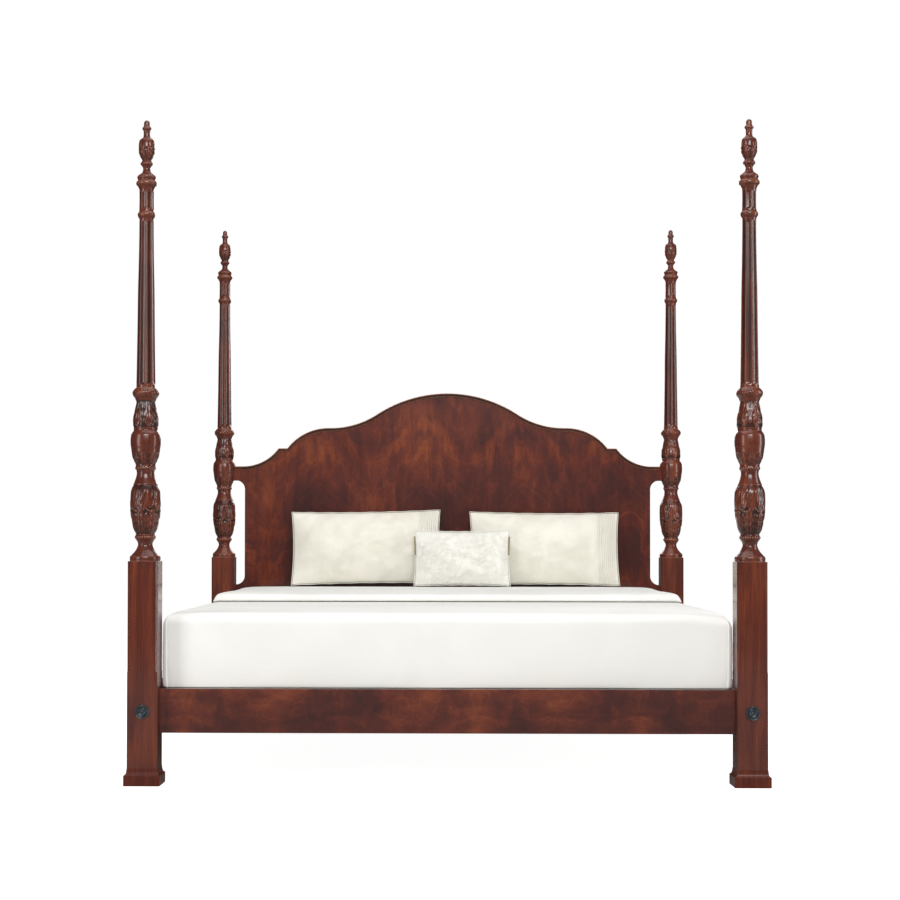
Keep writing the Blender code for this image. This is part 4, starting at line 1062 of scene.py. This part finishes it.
def cushion(name, node, size, slot, finish, cap, cord, tilt=0.0, trim=None):
    """Stuffed pillow of two sewn layers that leans back towards the headboard."""
    def half_thickness(u, v):
        full = np.clip((1 - np.abs(u) ** 2.6) * (1 - np.abs(v) ** 2.6), 0, None)
        slack = 1 + 0.10 * np.sin(8 * u + 3 * v) * np.sin(7 * v + 1) + 0.05 * np.sin(19 * u - 11 * v)
        return 0.40 * size[1] * full**0.8 * slack

    mesh, rim = pad_mesh(name, size[0], size[2], PILLOW_STEP, half_thickness)
    pillow = add_object(name, mesh, finish, math.pi)
    inflated(pillow, 4.0, cap, 6.0, pinned=rim)
    points = coordinates(pillow)
    u, v = 2 * points[:, 0] / size[0], 2 * points[:, 2] / size[2]
    sides, ends = PILLOW_DRAW_IN
    points[:, 0] *= 1 - sides * (1 - v**2)
    points[:, 2] *= 1 - ends * (1 - u**2) + 0.004 * np.sin(23 * u)
    fitted(moved_to(pillow, points), size)
    seam = coordinates(pillow)[rim]
    cords = [tube("seam", seam, cord, finish)]
    if trim:
        cords += side_trims(seam, size, 2.0 * cord, trim)
    pillow = joined([subdivided(pillow), *cords], name)
    turn = Matrix.Rotation(-PILLOW_LEAN, 4, "X") @ Matrix.Rotation(math.radians(tilt), 4, "Y")
    pillow.data.transform(turn)
    points = coordinates(pillow)
    shift = centre_of(node) - Vector((points.min(0) + points.max(0)) / 2)
    shift.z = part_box(node)[0].z + PILLOW_CLEARANCE - points[:, 2].min()
    pillow.data.transform(Matrix.Translation(shift))
    pillow.data.shade_smooth()
    return settled(pillow, "bedstead", slot, node)


def folded_duvet(finish):
    """Turned-down duvet: a soft rounded fold towards the foot that rises to its full thickness."""
    low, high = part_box("folded_duvet")
    width, length, crown = high - low

    def half_thickness(u, v):
        edge = np.minimum((1 - np.abs(u)) * width / 2, (1 - np.abs(v)) * length / 2)
        rise = smoothstep(-1.0, -0.3, v) * (1 - np.abs(u) ** 6)
        full = DUVET_EDGE + (crown - DUVET_EDGE) * rise
        return 0.5 * full * np.sqrt(np.clip(1 - np.clip(1 - edge / DUVET_EDGE_ROLL, 0, 1) ** 2, 0, 1))

    name = "folded_duvet_cover"
    mesh, _ = pad_mesh(name, width * 0.995, length * 0.995, DUVET_STEP, half_thickness)
    duvet = add_object(name, mesh, finish, math.pi)
    inflated(duvet, 2.0, 0.010, 12.0)
    points = coordinates(duvet)[:, (0, 2, 1)] * (1, 1, -1)
    under = points[:, 2] < 0
    points[under, 2] *= DUVET_UNDERSIDE / -points[:, 2].min()
    points[~under, 2] *= (crown - DUVET_UNDERSIDE) / points[:, 2].max()
    points = coordinates(fitted(moved_to(duvet, points), (width, length, crown)))
    past = np.clip(np.abs(points[:, 0]) - (width / 2 - DUVET_DROP), 0, 0.030)
    points[:, 2] -= COVERLET_ROLL - np.sqrt(COVERLET_ROLL**2 - past**2)
    subdivided(moved_to(duvet, points))
    duvet.data.transform(Matrix.Translation((low + high) / 2))
    duvet.data.shade_smooth()
    return settled(duvet, "bedstead", "duvet_cotton", "folded_duvet")


# Surroundings
def area_light(name, place, target, size, power):
    light = bpy.data.lights.new(name, "AREA")
    light.shape, light.size, light.size_y, light.energy = "RECTANGLE", *size, power
    lamp = bpy.data.objects.new(name, light)
    lamp.location, lamp.visible_camera = place, False
    lamp.rotation_euler = (Vector(target) - Vector(place)).to_track_quat("-Z", "Y").to_euler()
    bpy.context.scene.collection.objects.link(lamp)
    return lamp


def white_world(fill):
    """White behind everything, and a dimmer white as the light from all round."""
    world = bpy.data.worlds.new("white")
    world.use_nodes = True
    nodes, links = world.node_tree.nodes, world.node_tree.links
    background = nodes["Background"]
    seen = nodes.new("ShaderNodeLightPath").outputs["Is Camera Ray"]
    strength = nodes.new("ShaderNodeMapRange")
    strength.inputs["To Min"].default_value = fill
    links.new(seen, strength.inputs["Value"])
    links.new(strength.outputs[0], background.inputs["Strength"])
    background.inputs["Color"].default_value = (1, 1, 1, 1)
    bpy.context.scene.world = world


def pale_floor():
    """Pale floor that is lit up where the camera sees it, so that only a faint shadow shows."""
    floor = Finish("pale_floor", Base_Color=(0.42, 0.42, 0.41), Roughness=0.8, Specular_IOR_Level=0.0)
    seen = floor.node("LightPath").outputs["Is Camera Ray"]
    floor.set(Emission_Color=(1, 1, 1), Emission_Strength=floor.maths("MULTIPLY", seen, 0.97))
    half = 30.0
    points = np.array([(-half, -half, 0), (half, -half, 0), (half, half, 0), (-half, half, 0)])
    plane = add_object("floor", mesh_from("floor", points, [[0, 1, 2, 3]]), floor.material)


def camera():
    lens = bpy.data.cameras.new("camera")
    lens.lens, lens.sensor_width, lens.shift_x, lens.shift_y = 71.3, 36.0, 0.0312, 0.070
    made = bpy.data.objects.new("camera", lens)
    yaw, pitch, roll = (math.radians(angle) for angle in (0.84, 1.04, 0.07))
    turn = Matrix.Rotation(yaw, 4, "Z") @ Matrix.Rotation(math.pi / 2 + pitch, 4, "X")
    turn = turn @ Matrix.Rotation(roll, 4, "Z")
    made.matrix_world = Matrix.Translation((0.004, -7.065, 0.805)) @ turn
    bpy.context.scene.collection.objects.link(made)
    bpy.context.scene.camera = made


def studio():
    camera()
    white_world(0.10)
    pale_floor()
    area_light("overhead", (0, -0.6, 5.2), (0, 0, 0.5), (4.5, 4.5), 150)
    area_light("left", (-4.4, -4.3, 1.7), (0, -0.2, 0.9), (1.4, 3.4), 104)
    area_light("right", (4.6, -1.5, 1.6), (0, 0.2, 0.9), (0.9, 3.6), 90)
    area_light("behind", (0.6, 5.5, 3.0), (0, 0.5, 1.0), (4.0, 2.5), 110)
    area_light("front", (0.5, -7.5, 4.4), (0, 0, 0.7), (4.0, 2.0), 430)
    bpy.context.scene.view_settings.view_transform = "Standard"


def bedstead():
    plain = straight_mahogany("mahogany_upright", "Z")
    level = straight_mahogany("mahogany_level", "X")
    block = straight_mahogany("mahogany_plinth", "Z", coat=0.15)
    carved = straight_mahogany("carved_mahogany_glaze_shade_and_highlight", "Z", carved=True, coat=0.62)
    upright, level_streaks = (26.0, 26.0, 5.0), (5.0, 5.0, 17.0)
    # The board gets painted shade towards its foot and painted light towards its top.
    board = flame_mahogany("flame_veneer_board", 0.23, 0.12, 1.0, upright, crown=(-0.09, 0.05))
    foot = flame_mahogany("flame_veneer_foot", 0.25, 0.12, 0.0, level_streaks)
    side = flame_mahogany("flame_veneer_side", 0.25, 0.05, 0.0, level_streaks, across_axis="Y")
    steel, softwood, patina = zinc("zinc_plate"), pine("slat_pine"), bronze("bronze_patina")
    for corner in CORNERS:
        plinth(corner, block)
        lower_post(corner, plain, carved)
        upper_post(corner, carved)
        finial(corner, carved)
    bolt_covers(patina)
    headboard_panel(board)
    crest_moulding(straight_mahogany("mahogany_moulding", "X", carved=True, coat=0.55))
    finished(level, ["headboard_lower_rail"], 1.5 * MM)
    finished(foot, ["foot_rail"], 1.2 * MM)
    finished(side, ["side_rail_left", "side_rail_right"], 1.2 * MM)
    finished(softwood, [f"slat_{i + 1}" for i in range(7)], 1.5 * MM)
    finished(softwood, ["slat_cleat_left", "slat_cleat_right", "centre_rail"], 1.5 * MM)
    finished(steel, ["centre_rail_bracket_foot", "centre_rail_bracket_head"], 0.3 * MM)
    finished(steel, [f"bed_bolt_{rail}_{corner}" for rail, corner, _ in BOLTS])


def bedding():
    ticking = woven("ticking", (0.66, 0.64, 0.58), (0.50, 0.49, 0.46), 0.0016, 0.0005)
    percale = woven("percale", (0.82, 0.815, 0.785), (0.79, 0.78, 0.74), 0.0009, 0.0015, 3.0)
    duvet = woven("duvet_percale", (0.77, 0.765, 0.735), (0.73, 0.72, 0.68), 0.0009, 0.0030, 5.0)
    sham = woven("sham_sateen", (0.71, 0.685, 0.605), (0.63, 0.605, 0.520), 0.0010, 0.0030, 7.0, 0.3, 0.62)
    pin_tucks(sham)
    lumbar = woven("lumbar_brocade", (0.73, 0.720, 0.665), (0.68, 0.665, 0.600), 0.0010, 0.0010, 9.0)
    brocade(lumbar)
    gimp = woven("olive_gimp", (0.30, 0.25, 0.12), (0.20, 0.16, 0.07), 0.0016, 0.0010, 60.0)
    foundations(ticking.material)
    mattress(ticking.material)
    coverlet(percale.material)
    folded_duvet(duvet.material)
    for side, tilt in SHAM_TILTS.items():
        node = "sham_" + side
        cushion("sateen_" + node, node, SHAM_SIZE, "sham_cream", sham.material, 0.030, 1.6 * MM, tilt)
    size, finish = LUMBAR_SIZE, lumbar.material
    cushion(
        "brocade_lumbar", "lumbar_pillow", size, "lumbar_ivory", finish, 0.024, 1.8 * MM, trim=gimp.material
    )



bedstead()
bedding()
studio()
